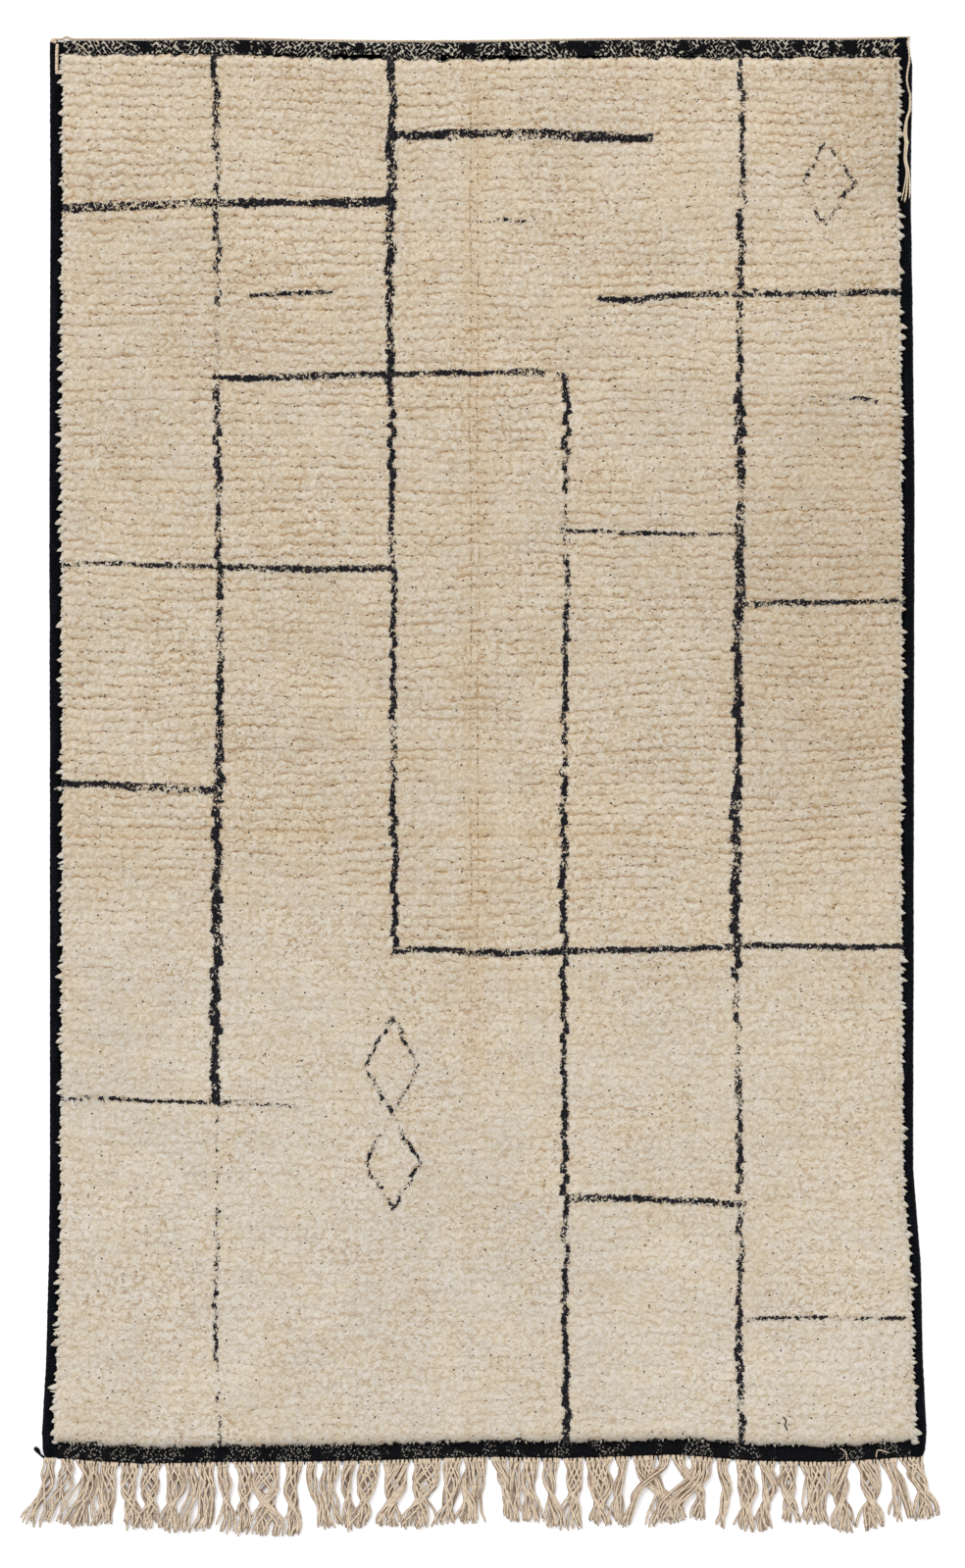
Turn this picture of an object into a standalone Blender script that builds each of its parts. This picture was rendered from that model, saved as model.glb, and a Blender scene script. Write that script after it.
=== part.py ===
"""A Beni Ourain rug lying flat with its pile up.

A thin woven ground carries rows of knotted wool pile. A dark overcast cord runs down each
side, a dark flat-woven band closes each end, a twined cream cord edges the top, and the
warp ends hang out of a knotted head as a fringe along the bottom. A few loose ends lie at
the corners. Units are metres: +Y runs from the fringe to the top edge, +Z is up, and the
underside lies at z = 0.
"""

import math
import random
from typing import NamedTuple

import bmesh
import bpy
import numpy as np

# Outline of the woven body
HALF_WIDTH = 0.7635  # centre line to the outer edge of a side
LENGTH = 2.517  # top edge to the root of the fringe
GAP = 0.0003  # between neighbouring pieces

# Ground and end bands
GROUND_THICKNESS = 0.004
BAND_WIDTH = 0.036  # 30 mm show, the rest lies under the first locks of the pile
TOP_CORD_RADIUS = 0.0026
TOP_CORD_STEP = 0.045
TOP_CORD_UNEVENNESS = 0.15  # of its radius

# Sides
SELVEDGE_STATIONS = 46
SELVEDGE_BUMP = 0.0012
SELVEDGE_END_LENGTH = 0.018  # the rounded end of a side cord
SELVEDGE_END_HEIGHT = 0.45  # of the full height, at the very end

# Pile
PILE_ROWS = 128
PILE_COLUMNS = 8  # columns between the two rim columns
PILE_TOP = 0.022
PILE_ROW_DEPTH = 0.0055  # from a row's crest down to the line under it
PILE_LUMP = 0.0022
PILE_RIM_TOP = 0.0125
PILE_RIM_WIDTH = 0.016
PILE_PARTING_DEPTH = 0.003  # the crease down the middle
ROW_CREST = 0.32  # where a row's crest lies, as a share of its pitch from its lower line
ROW_WAVE = 0.004
ROW_WAVES_ACROSS = (11.0, 23.0)  # radians over the width, of a long and a short wave
ROW_WAVES_ALONG = (0.13, -0.07)  # radians a half row, by which those waves drift
ROW_SHORT_WAVE = 0.6  # of the long wave's height
ROW_CALM_LINES = 6  # half rows at each end that stay straight
LOCK_JITTER = 0.002
LOCK_OUT = 0.0187  # from the outer edge to the tips of the side locks
LOCK_IN = 0.0238  # from the outer edge to the notches between them
END_LOCK_OUT = 0.0270
END_LOCK_IN = 0.0335
END_LOCKS_PER_COLUMN = 10

# Fringe
FRINGE_LENGTH = 0.118
FRINGE_LENGTH_SPREAD = 0.008
STRAND_WIDTH = 0.0034
STRAND_HEIGHT = 0.0033
STRAND_PITCH = 0.0046
STRAND_BURIED = 0.0030  # how far a strand's root reaches into the head
STRAND_LIFT = 0.0008  # of a strand's base inside the head
CLUMPS = 48
CLUMP_STRANDS = (3, 4, 5)
CLUMP_SPREAD = (0.9, 1.35)  # a clump's width at its tips, as a share of that at its root
STRAND_LENGTH_SPREAD = 0.004
CLUMP_DRIFT = 0.004
CLUMP_LEAN = 0.012
OUTER_LEAN = 0.042  # of the clumps at the corners, outwards
OUTER_LEAN_POWER = 7  # how suddenly the outward lean sets in towards a corner
HEAD_WIDTH = 0.0080
HEAD_KNOT_HEIGHT = 0.0062
HEAD_GAP_HEIGHT = 0.0040
HEAD_GAP_WIDTH = 0.0055
HEAD_JITTER = 0.0005

# Loose ends at the corners
LOOSE_CORD_RADIUS = 0.0020
TAIL_RADIUS = 0.0027
LIE = 0.0005  # a loose end's height over what it lies on
KNOT_RADII = (0.0070, 0.0055, 0.0052)
KNOT_INSET = 0.0078  # its centre, from the left edge
KNOT_DOWN = 0.0052  # its centre, from the top edge


class SideStation(NamedTuple):
    """How far each side bulges outwards, at a distance below the top edge."""

    down: float
    left: float
    right: float


SIDES = (
    SideStation(0.000, 0.000, -0.0085),
    SideStation(0.050, 0.000, 0.0000),
    SideStation(0.262, -0.001, -0.0030),
    SideStation(0.520, 0.000, 0.0010),
    SideStation(0.800, 0.001, 0.0040),
    SideStation(1.250, 0.000, 0.0030),
    SideStation(2.000, 0.000, 0.0015),
    SideStation(2.170, 0.002, 0.0150),
    SideStation(2.350, 0.007, 0.0190),
    SideStation(2.468, 0.014, 0.0255),
    SideStation(2.520, 0.012, 0.0205),
)


class EndStation(NamedTuple):
    """How far the top and the bottom edge bulge outwards, at a distance from the centre line."""

    x: float
    top: float
    bottom: float


ENDS = (
    EndStation(-0.80, 0.000, -0.006),
    EndStation(-0.69, 0.000, 0.003),
    EndStation(-0.60, 0.000, 0.008),
    EndStation(-0.45, 0.002, 0.005),
    EndStation(-0.22, -0.003, 0.003),
    EndStation(0.00, -0.003, -0.004),
    EndStation(0.16, 0.000, -0.002),
    EndStation(0.35, 0.002, -0.008),
    EndStation(0.48, 0.002, 0.003),
    EndStation(0.62, 0.001, 0.005),
    EndStation(0.80, 0.004, -0.006),
)


class SectionPoint(NamedTuple):
    """A point of the side cord's section: inwards from the outer edge, and up."""

    inset: float
    height: float


SELVEDGE_SECTION = (
    SectionPoint(0.0000, 0.0000),
    SectionPoint(0.0004, 0.0055),
    SectionPoint(0.0028, 0.0096),
    SectionPoint(0.0078, 0.0115),
    SectionPoint(0.0134, 0.0106),
    SectionPoint(0.0172, 0.0078),
    SectionPoint(0.0180, 0.0040),
    SectionPoint(0.0250, 0.0040),
    SectionPoint(0.0250, 0.0000),
)


class CordPoint(NamedTuple):
    """A point of a loose end on a side cord: below the top edge, and in from the outer edge."""

    down: float
    inset: float


LOOSE_CORD_ROUTE = (
    CordPoint(0.009, 0.0024),
    CordPoint(0.027, 0.0026),
    CordPoint(0.042, 0.0048),
    CordPoint(0.062, 0.0094),
    CordPoint(0.077, 0.0102),
    CordPoint(0.092, 0.0073),
    CordPoint(0.102, 0.0042),
    CordPoint(0.116, 0.0032),
    CordPoint(0.131, 0.0042),
    CordPoint(0.143, 0.0082),
    CordPoint(0.163, 0.0118),
    CordPoint(0.177, 0.0112),
    CordPoint(0.187, 0.0094),
    CordPoint(0.202, 0.0108),
    CordPoint(0.219, 0.0108),
    CordPoint(0.232, 0.0078),
    CordPoint(0.242, 0.0068),
    CordPoint(0.257, 0.0072),
    CordPoint(0.276, 0.0090),
    CordPoint(0.292, 0.0122),
)

TAIL_ROUTE = (
    CordPoint(0.013, 0.0146),
    CordPoint(0.027, 0.0136),
    CordPoint(0.044, 0.0136),
    CordPoint(0.058, 0.0134),
    CordPoint(0.066, 0.0142),
)


class TuftPoint(NamedTuple):
    """A point of the knotted tuft at the bottom left corner, out from that side's edge."""

    out: float
    down: float
    radius: float


TUFT = (
    TuftPoint(0.0018, 2.5098, 0.0022),
    TuftPoint(0.0056, 2.5058, 0.0020),
    TuftPoint(0.0088, 2.5010, 0.0034),
    TuftPoint(0.0112, 2.4985, 0.0047),
    TuftPoint(0.0140, 2.4965, 0.0030),
)
TUFT_HEIGHT = 0.0048


class StrandStation(NamedTuple):
    """A place along a strand: shares of its length, of its sideways travel and of its width."""

    share: float
    travelled: float
    width: float


STRAND = (
    StrandStation(0.00, 0.00, 1.00),
    StrandStation(0.10, 0.06, 1.00),
    StrandStation(0.55, 0.62, 1.00),
    StrandStation(1.00, 1.00, 0.55),
)


class Finish(NamedTuple):
    """A yarn's colour as linear red, green and blue, and its roughness."""

    colour: tuple[float, float, float]
    roughness: float


CREAM_WOOL = Finish((0.60, 0.51, 0.38), 0.95)
GROUND_WOOL = Finish((0.52, 0.44, 0.33), 0.95)
DARK_WOOL = Finish((0.012, 0.012, 0.014), 0.90)
CREAM_WARP = Finish((0.56, 0.46, 0.36), 0.92)


def side_edge(y, side):
    """The x of a side's outer edge at each y: side is -1 for the left and +1 for the right."""
    bulges = [row.left if side < 0 else row.right for row in SIDES]
    return side * (HALF_WIDTH + np.interp(LENGTH / 2 - y, [row.down for row in SIDES], bulges))


def end_edge(x, end, inset=0.0):
    """The y of an end's edge at each x, moved in by inset: end is -1 for the bottom, +1 for the top."""
    bulges = [row.bottom if end < 0 else row.top for row in ENDS]
    return end * (LENGTH / 2 - inset + np.interp(x, [row.x for row in ENDS], bulges))


def corner(end, inset, side, side_inset):
    """The x and y where a line inside an end's edge meets a line inside a side's edge."""
    y = end * (LENGTH / 2 - inset)
    for _ in range(3):
        x = float(side_edge(y, side)) - side * side_inset
        y = float(end_edge(x, end, inset))
    return x, y


def with_kinks(values, kinks):
    """Stations along an edge together with the kinks of its table that lie between them."""
    low, high = min(values), max(values)
    inner = [kink for kink in kinks if low + 1e-4 < kink < high - 1e-4]
    return np.unique(np.round(np.concatenate([values, inner]), 6))


def side_point(down, inset, side):
    """The x and y of a point given by its distance below the top edge and in from a side."""
    y = LENGTH / 2 - down
    return float(side_edge(y, side)) - side * inset, y


def lying_height(inset, radius):
    """The height of a round yarn's middle where it lies on a side cord's upper surface.

    The surface under each share of the yarn's width has to stay below its lower half.
    """
    surface = SELVEDGE_SECTION[:-1]
    offsets = np.linspace(-radius, radius, 9)
    tops = np.interp(inset + offsets, [p.inset for p in surface], [p.height for p in surface])
    return float(np.max(tops + np.sqrt(radius**2 - offsets**2))) + LIE


def clear_scene():
    """Remove what the file opened with."""
    for old in list(bpy.data.objects):
        bpy.data.objects.remove(old, do_unlink=True)


def new_collection(name):
    """A collection linked to the scene."""
    made = bpy.data.collections.new(name)
    bpy.context.scene.collection.children.link(made)
    return made


def yarn_material(name, finish):
    """A matt yarn on a Principled shader."""
    material = bpy.data.materials.new(name)
    material.use_nodes = True
    shader = material.node_tree.nodes["Principled BSDF"]
    shader.inputs["Base Color"].default_value = (*finish.colour, 1.0)
    shader.inputs["Roughness"].default_value = finish.roughness
    return material


def add_object(data, collection, material):
    """Put a mesh or a curve into a collection as an object of the same name."""
    data.materials.append(material)
    made = bpy.data.objects.new(data.name, data)
    collection.objects.link(made)
    return made


def mesh_from_bmesh(bm, name):
    """A mesh with its faces turned outwards."""
    bmesh.ops.recalc_face_normals(bm, faces=bm.faces)
    mesh = bpy.data.meshes.new(name)
    bm.to_mesh(mesh)
    bm.free()
    return mesh


def unit_grid(columns, rows):
    """A flat grid of unit size around the origin."""
    bm = bmesh.new()
    bmesh.ops.create_grid(bm, x_segments=columns, y_segments=rows, size=0.5)
    return bm


def pull_up(bm):
    """Extrude a sheet's faces and return its lower and its upper points, in the same order."""
    lower = list(bm.verts)
    made = bmesh.ops.extrude_face_region(bm, geom=list(bm.faces), use_keep_orig=True)
    upper = [item for item in made["geom"] if isinstance(item, bmesh.types.BMVert)]
    return lower, upper


def flat_panel(name, low, high, side_inset):
    """A level piece of cloth between two lines, each given as (end, inset), and the two sides.

    Its grid lines run through the kinks of the outline's tables, so that neighbours match.
    """
    left, right = (corner(*low, side, side_inset)[0] for side in (-1, 1))
    xs = with_kinks([left, right], [row.x for row in ENDS])
    y_range = [corner(*line, side, side_inset)[1] for line in (low, high) for side in (-1, 1)]
    ys = with_kinks([min(y_range), max(y_range)], [LENGTH / 2 - row.down for row in SIDES])
    last_column, last_row = len(xs) - 1, len(ys) - 1
    bm = unit_grid(last_column, last_row)
    lower, upper = pull_up(bm)
    for points, height in ((lower, 0.0), (upper, GROUND_THICKNESS)):
        for vert in points:
            column = round((vert.co.x + 0.5) * last_column)
            row = round((vert.co.y + 0.5) * last_row)
            x, y = xs[column], ys[row]
            line = {0: low, last_row: high}.get(row)
            side = {0: -1, last_column: 1}.get(column)
            if line and side:
                x, y = corner(*line, side, side_inset)
            elif line:
                y = end_edge(x, *line)
            elif side:
                x = side_edge(y, side) - side * side_inset
            vert.co = (x, y, height)
    return mesh_from_bmesh(bm, name)


def loft(name, rings):
    """A closed skin over closed rings of points, an array of (bodies, rings, points, 3)."""
    bodies, count, sides, _ = rings.shape
    index = np.arange(bodies * count * sides).reshape(bodies, count, sides)
    turned = np.roll(index, -1, axis=2)
    skin = np.stack([index[:, :-1], turned[:, :-1], turned[:, 1:], index[:, 1:]], axis=-1)
    faces = skin.reshape(-1, 4).tolist()
    faces += index[:, 0, ::-1].tolist() + index[:, -1].tolist()
    mesh = bpy.data.meshes.new(name)
    mesh.from_pydata(rings.reshape(-1, 3).tolist(), [], faces)
    bm = bmesh.new()
    bm.from_mesh(mesh)
    bpy.data.meshes.remove(mesh)
    return mesh_from_bmesh(bm, name)


def selvedge_mesh(name, side, top_inset, rng):
    """A side cord: its section carried down the edge, a little uneven, with rounded ends."""
    width = SELVEDGE_SECTION[-1].inset
    top = min(corner(1, top_inset, side, inset)[1] for inset in (0.0, width))
    bottom = max(corner(-1, 0.0, side, inset)[1] for inset in (0.0, width))
    stations = np.append(
        np.linspace(bottom, top, SELVEDGE_STATIONS),
        [bottom + SELVEDGE_END_LENGTH, top - SELVEDGE_END_LENGTH],
    )
    ys = with_kinks(stations, [LENGTH / 2 - row.down for row in SIDES])
    reach = np.clip(np.minimum(top - ys, ys - bottom) / SELVEDGE_END_LENGTH, 0.0, 1.0)
    fullness = SELVEDGE_END_HEIGHT + (1 - SELVEDGE_END_HEIGHT) * np.sqrt(reach)
    crown = max(SELVEDGE_SECTION, key=lambda point: point.height)
    rings = np.zeros((1, len(ys), len(SELVEDGE_SECTION), 3))
    for station, y in enumerate(ys):
        bump = rng.uniform(0.0, SELVEDGE_BUMP) * reach[station]
        for k, point in enumerate(SELVEDGE_SECTION):
            inset = point.inset + bump * (point.inset < crown.inset)
            over = max(0.0, point.height - GROUND_THICKNESS)
            height = point.height - over * (1 - fullness[station])
            rings[0, station, k] = (side_edge(y, side) - side * inset, y, height)
    return loft(name, rings)


def pile_columns():
    """The columns of the pile's grid as shares of its width, with one near each rim."""
    inner = PILE_RIM_WIDTH / (2 * HALF_WIDTH)
    return np.concatenate([[0.0], np.linspace(inner, 1 - inner, PILE_COLUMNS + 1), [1.0]])


def pile_mesh(name, rng):
    """The pile: a slab whose rows rise to a lumpy crest and drop to a line, with locks at its rim.

    Odd grid lines are crests and even ones the lines between rows. On the long sides each
    crest juts out past the lines beside it, and on the short ends every second point does.
    """
    columns = pile_columns()
    last_column = len(columns) - 1
    last_line = 2 * PILE_ROWS
    bm = unit_grid(last_column, last_line)
    ends = [edge for edge in bm.edges if all(abs(abs(v.co.y) - 0.5) < 1e-6 for v in edge.verts)]
    bmesh.ops.subdivide_edges(bm, edges=ends, cuts=END_LOCKS_PER_COLUMN - 1)
    lower, upper = pull_up(bm)
    lumps = [[rng.uniform(-1.0, 1.0) for _ in range(last_column + 1)] for _ in range(last_line + 1)]
    teeth = [rng.uniform(0.0, 1.0) for _ in range(last_line + last_column * END_LOCKS_PER_COLUMN + 2)]
    for points, is_top in ((lower, False), (upper, True)):
        for vert in points:
            step = (vert.co.x + 0.5) * last_column
            line = round((vert.co.y + 0.5) * last_line)
            vert.co = pile_point(step, line, is_top, columns, lumps, teeth)
    bmesh.ops.triangulate(bm, faces=[face for face in bm.faces if len(face.verts) > 4])
    return mesh_from_bmesh(bm, name)


def pile_point(step, line, is_top, columns, lumps, teeth):
    """Where a point of the pile's grid lies: step counts columns and line counts half rows."""
    last_column = len(columns) - 1
    last_line = 2 * PILE_ROWS
    column = min(round(step), last_column)
    across = float(np.interp(step, np.arange(last_column + 1), columns))
    is_crest = line % 2 == 1
    at_side = step < 1e-4 or step > last_column - 1e-4
    at_end = line in (0, last_line)

    side_inset = (LOCK_OUT + LOCK_IN) / 2
    if at_side and is_crest:
        side_inset = LOCK_OUT + LOCK_JITTER * teeth[line]
    elif at_side:
        side_inset = LOCK_IN - LOCK_JITTER * teeth[line]
    end_inset = (END_LOCK_OUT + END_LOCK_IN) / 2
    if at_end:
        lock = round(step * END_LOCKS_PER_COLUMN)
        out = END_LOCK_OUT if lock % 2 else END_LOCK_IN
        end_inset = out + LOCK_JITTER * (teeth[last_line + lock] - 0.5)

    rows_below = line // 2 + (ROW_CREST if is_crest else 0.0)
    x_guess = (2 * across - 1) * HALF_WIDTH
    y_low, y_high = end_edge(x_guess, -1, end_inset), end_edge(x_guess, 1, end_inset)
    y = y_low + (y_high - y_low) * rows_below / PILE_ROWS
    if not at_side:
        calm = min(1.0, line / ROW_CALM_LINES, (last_line - line) / ROW_CALM_LINES)
        phases = [a * across + b * line for a, b in zip(ROW_WAVES_ACROSS, ROW_WAVES_ALONG)]
        y += ROW_WAVE * calm * (math.sin(phases[0]) + ROW_SHORT_WAVE * math.sin(phases[1]))
    left = side_edge(y, -1) + side_inset
    right = side_edge(y, 1) - side_inset
    x = left + across * (right - left)

    if not is_top:
        return x, y, GROUND_THICKNESS + GAP
    if at_side or at_end:
        return x, y, PILE_RIM_TOP + PILE_LUMP * (teeth[line] - 0.5)
    height = PILE_TOP - PILE_LUMP + PILE_LUMP * lumps[line][column]
    if not is_crest:
        height -= PILE_ROW_DEPTH * (0.8 + 0.2 * lumps[line][column])
    if column == last_column // 2:
        height -= PILE_PARTING_DEPTH
    return x, y, height


def strand_roots(rng):
    """The clumps of the fringe: for each strand its root x, its sideways travel and its length."""
    left = side_edge(-LENGTH / 2, -1) + STRAND_WIDTH
    right = side_edge(-LENGTH / 2, 1) - STRAND_WIDTH
    pitch = (right - left) / CLUMPS
    strands = []
    for clump in range(CLUMPS):
        centre = left + pitch * (clump + 0.5) + rng.uniform(-1, 1) * CLUMP_DRIFT
        outwards = (centre - left) / (right - left) * 2 - 1
        lean = rng.uniform(-1, 1) * CLUMP_LEAN + OUTER_LEAN * outwards**OUTER_LEAN_POWER
        spread = rng.uniform(*CLUMP_SPREAD)
        length = FRINGE_LENGTH + rng.uniform(-1, 1) * FRINGE_LENGTH_SPREAD
        count = rng.choice(CLUMP_STRANDS)
        for k in range(count):
            offset = (k - (count - 1) / 2) * STRAND_PITCH
            travel = lean + offset * (spread - 1)
            strand_length = length + rng.uniform(-1, 1) * STRAND_LENGTH_SPREAD
            strands.append((centre + offset, travel, strand_length))
    return strands


def kept_apart(xs):
    """The same positions, each at least one strand pitch after the one before."""
    pushed = list(xs)
    for k in range(1, len(pushed)):
        pushed[k] = max(pushed[k], pushed[k - 1] + STRAND_PITCH)
    overrun = [b - a for a, b in zip(xs, pushed)]
    shift = sum(overrun) / len(overrun)
    return [x - shift for x in pushed]


def strand_mesh(name, rng):
    """All the strands of the fringe: three-sided yarns that lie level and taper to their tips."""
    strands = strand_roots(rng)
    roots = kept_apart([root for root, _, _ in strands])
    rings = np.zeros((len(strands), len(STRAND), 3, 3))
    for k, stop in enumerate(STRAND):
        xs = kept_apart([root + stop.travelled * travel for root, (_, travel, _) in zip(roots, strands)])
        for n, x in enumerate(xs):
            root_y = float(end_edge(roots[n], -1)) - GAP - HEAD_GAP_WIDTH + STRAND_BURIED
            y = root_y - stop.share * (strands[n][2] - HEAD_GAP_WIDTH)
            low = STRAND_LIFT if k == 0 else 0.0
            half = STRAND_WIDTH / 2 * stop.width
            top = STRAND_HEIGHT * stop.width
            rings[n, k] = ((x - half, y, low), (x + half, y, low), (x, y, top))
    return loft(name, rings)


def head_mesh(name, rng):
    """The fringe's knotted head: a narrow strip that swells at each clump."""
    left, right = (corner(-1, 0.0, side, 0.0)[0] for side in (-1, 1))
    beat = np.linspace(left, right, 2 * CLUMPS + 1)
    is_knot = np.arange(len(beat)) % 2 == 1
    jitter = [rng.uniform(-1, 1) * HEAD_JITTER for _ in beat]
    xs = with_kinks(beat, [row.x for row in ENDS])
    widths = np.interp(xs, beat, np.where(is_knot, HEAD_WIDTH, HEAD_GAP_WIDTH) + jitter)
    heights = np.interp(xs, beat, np.where(is_knot, HEAD_KNOT_HEIGHT, HEAD_GAP_HEIGHT))
    rings = np.zeros((1, len(xs), 4, 3))
    for k, (x, width, height) in enumerate(zip(xs, widths, heights)):
        back = float(end_edge(x, -1)) - GAP
        rings[0, k] = (
            (x, back, 0.0),
            (x, back - width, 0.0),
            (x, back - width * 0.85, height * 0.8),
            (x, back, height * 0.9),
        )
    return loft(name, rings)


def tube(name, points, radius, scales=None):
    """A round yarn along points, eight-sided and closed at both ends, as a curve."""
    curve = bpy.data.curves.new(name, "CURVE")
    curve.dimensions = "3D"
    curve.bevel_depth = radius
    curve.bevel_resolution = 2
    curve.use_fill_caps = True
    spline = curve.splines.new("POLY")
    spline.points.add(len(points) - 1)
    for k, point in enumerate(points):
        spline.points[k].co = (*point, 1.0)
        spline.points[k].radius = scales[k] if scales else 1.0
    return curve


def top_cord(name, rng):
    """The twined cord along the top edge, from the corner knot to the right corner."""
    start = float(side_edge(LENGTH / 2, -1)) + KNOT_INSET + KNOT_RADII[0] + 2 * GAP
    stop = float(side_edge(LENGTH / 2, 1))
    steps = np.linspace(start, stop, round((stop - start) / TOP_CORD_STEP))
    xs = with_kinks(steps, [row.x for row in ENDS])
    reach = TOP_CORD_RADIUS * (1 + TOP_CORD_UNEVENNESS)
    points = [(x, float(end_edge(x, 1)) - reach, reach) for x in xs]
    scales = [1 + rng.uniform(-1, 1) * TOP_CORD_UNEVENNESS for _ in xs]
    return tube(name, points, TOP_CORD_RADIUS, scales)


def corner_knot(name):
    """The knot that ends the twined cord at the left corner, flat where it lies."""
    x, y = side_point(KNOT_DOWN, KNOT_INSET, -1)
    bm = bmesh.new()
    bmesh.ops.create_icosphere(bm, subdivisions=2, radius=1.0)
    for vert in bm.verts:
        unit = vert.co.copy()
        height = KNOT_RADII[2] * (0.85 + unit.z)
        vert.co = (x + KNOT_RADII[0] * unit.x, y + KNOT_RADII[1] * unit.y, max(0.0, height))
    return mesh_from_bmesh(bm, name)


def corner_tuft(name):
    """The knotted tuft that sticks out at the bottom left corner, on the floor."""
    points = [(*side_point(stop.down, -stop.out, -1), TUFT_HEIGHT) for stop in TUFT]
    return tube(name, points, TUFT[0].radius, [stop.radius / TUFT[0].radius for stop in TUFT])


def smooth_route(points):
    """A Catmull-Rom curve through the points, with one more point between each two."""
    given = np.array(points)
    knots = np.vstack([2 * given[0] - given[1], given, 2 * given[-1] - given[-2]])
    route = []
    for before, here, there, after in zip(knots, knots[1:], knots[2:], knots[3:]):
        route.append(here)
        route.append((9 * (here + there) - before - after) / 16)
    route.append(given[-1])
    return [tuple(float(value) for value in point) for point in route]


def loose_end(name, route, radius, side):
    """A loose end that lies along a side cord."""
    points = []
    for stop in route:
        x, y = side_point(stop.down, stop.inset, side)
        points.append((x, y, lying_height(stop.inset, radius)))
    return tube(name, smooth_route(points), radius)


def union(target, other):
    """Fuse another object into the target."""
    modifier = target.modifiers.new("fused", "BOOLEAN")
    modifier.operation = "UNION"
    modifier.solver = "EXACT"
    modifier.object = other
    other.hide_render = True
    other.display_type = "WIRE"


def centre_on_floor(pieces, root):
    """Move the root so that the middle of the whole rug's footprint is at x = y = 0."""
    depsgraph = bpy.context.evaluated_depsgraph_get()
    lows, highs = [], []
    for piece in pieces:
        evaluated = piece.evaluated_get(depsgraph)
        mesh = evaluated.to_mesh()
        points = np.empty(3 * len(mesh.vertices))
        mesh.vertices.foreach_get("co", points)
        lows.append(points.reshape(-1, 3).min(axis=0))
        highs.append(points.reshape(-1, 3).max(axis=0))
        evaluated.to_mesh_clear()
    middle = (np.min(lows, axis=0) + np.max(highs, axis=0)) / 2
    root.location = (-middle[0], -middle[1], 0.0)


def build():
    """Make every piece of the rug and centre it."""
    clear_scene()
    rug = new_collection("beni_ourain_rug")
    tools = new_collection("fused_shapes")  # fused into a piece of the rug
    cream = yarn_material("cream_pile_wool", CREAM_WOOL)
    ground = yarn_material("woven_ground_wool", GROUND_WOOL)
    dark = yarn_material("dark_wool", DARK_WOOL)
    warp = yarn_material("cream_warp_yarn", CREAM_WARP)
    rng = random.Random(7)

    side_inset = SELVEDGE_SECTION[-1].inset + GAP
    cord_room = 2 * TOP_CORD_RADIUS * (1 + TOP_CORD_UNEVENNESS) + GAP
    knot_room = KNOT_DOWN + KNOT_RADII[1] + 2 * GAP
    band_end = BAND_WIDTH + GAP
    shapes = (
        (flat_panel("ground_weave", (-1, band_end), (1, band_end), side_inset), ground),
        (flat_panel("end_band_top", (1, BAND_WIDTH), (1, cord_room), side_inset), dark),
        (flat_panel("end_band_bottom", (-1, 0.0), (-1, BAND_WIDTH), side_inset), dark),
        (selvedge_mesh("selvedge_left", -1, knot_room, rng), dark),
        (selvedge_mesh("selvedge_right", 1, cord_room, rng), dark),
        (pile_mesh("pile", rng), cream),
        (top_cord("top_cord", rng), warp),
        (corner_knot("corner_knot"), warp),
        (loose_end("corner_tail", TAIL_ROUTE, TAIL_RADIUS, -1), warp),
        (loose_end("loose_cord", LOOSE_CORD_ROUTE, LOOSE_CORD_RADIUS, 1), warp),
        (corner_tuft("corner_tuft"), dark),
        (head_mesh("fringe", rng), warp),
    )
    pieces = [add_object(data, rug, material) for data, material in shapes]
    strands = add_object(strand_mesh("fringe_strands", rng), tools, warp)
    union(pieces[-1], strands)

    root = bpy.data.objects.new("rug_middle", None)
    rug.objects.link(root)
    bpy.context.view_layer.update()
    centre_on_floor(pieces, root)
    for piece in (*pieces, strands):
        piece.parent = root
    bpy.context.view_layer.update()


build()
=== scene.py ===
"""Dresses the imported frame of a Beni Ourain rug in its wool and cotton, and sets up the studio.

The rug lies flat with its pile up. Each piece is worked out in the woven body's own plan,
whose middle is at x = y = 0 with +y towards the top edge, and is then moved to where the
frame lies. Lengths are metres, and z = 0 is the floor.
"""

import logging
import math
from dataclasses import dataclass, field
from enum import Enum

import bpy
import numpy as np
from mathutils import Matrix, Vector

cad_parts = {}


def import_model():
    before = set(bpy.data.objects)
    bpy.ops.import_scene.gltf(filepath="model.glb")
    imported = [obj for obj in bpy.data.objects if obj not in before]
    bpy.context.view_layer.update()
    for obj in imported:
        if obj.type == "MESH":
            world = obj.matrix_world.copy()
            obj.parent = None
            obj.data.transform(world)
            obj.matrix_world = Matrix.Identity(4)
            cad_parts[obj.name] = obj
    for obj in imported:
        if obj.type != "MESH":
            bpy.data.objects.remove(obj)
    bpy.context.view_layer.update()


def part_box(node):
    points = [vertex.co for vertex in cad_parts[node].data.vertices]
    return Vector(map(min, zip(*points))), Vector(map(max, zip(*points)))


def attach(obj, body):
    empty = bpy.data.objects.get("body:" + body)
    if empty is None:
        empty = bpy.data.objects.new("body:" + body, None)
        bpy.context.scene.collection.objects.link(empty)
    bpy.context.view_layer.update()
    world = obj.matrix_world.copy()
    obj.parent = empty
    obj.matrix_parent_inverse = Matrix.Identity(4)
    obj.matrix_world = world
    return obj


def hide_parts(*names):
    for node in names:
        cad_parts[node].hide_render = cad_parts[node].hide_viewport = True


LOG = logging.getLogger("rug")
Array = np.ndarray
Socket = bpy.types.NodeSocket
Material = bpy.types.Material
Piece = bpy.types.Object
Draws = np.random.Generator
Values = dict[str, Array]
Triple = tuple[float, float, float]
Tint = tuple[float, float, float, float]
Colour = Socket | tuple[float, ...] | str

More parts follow.
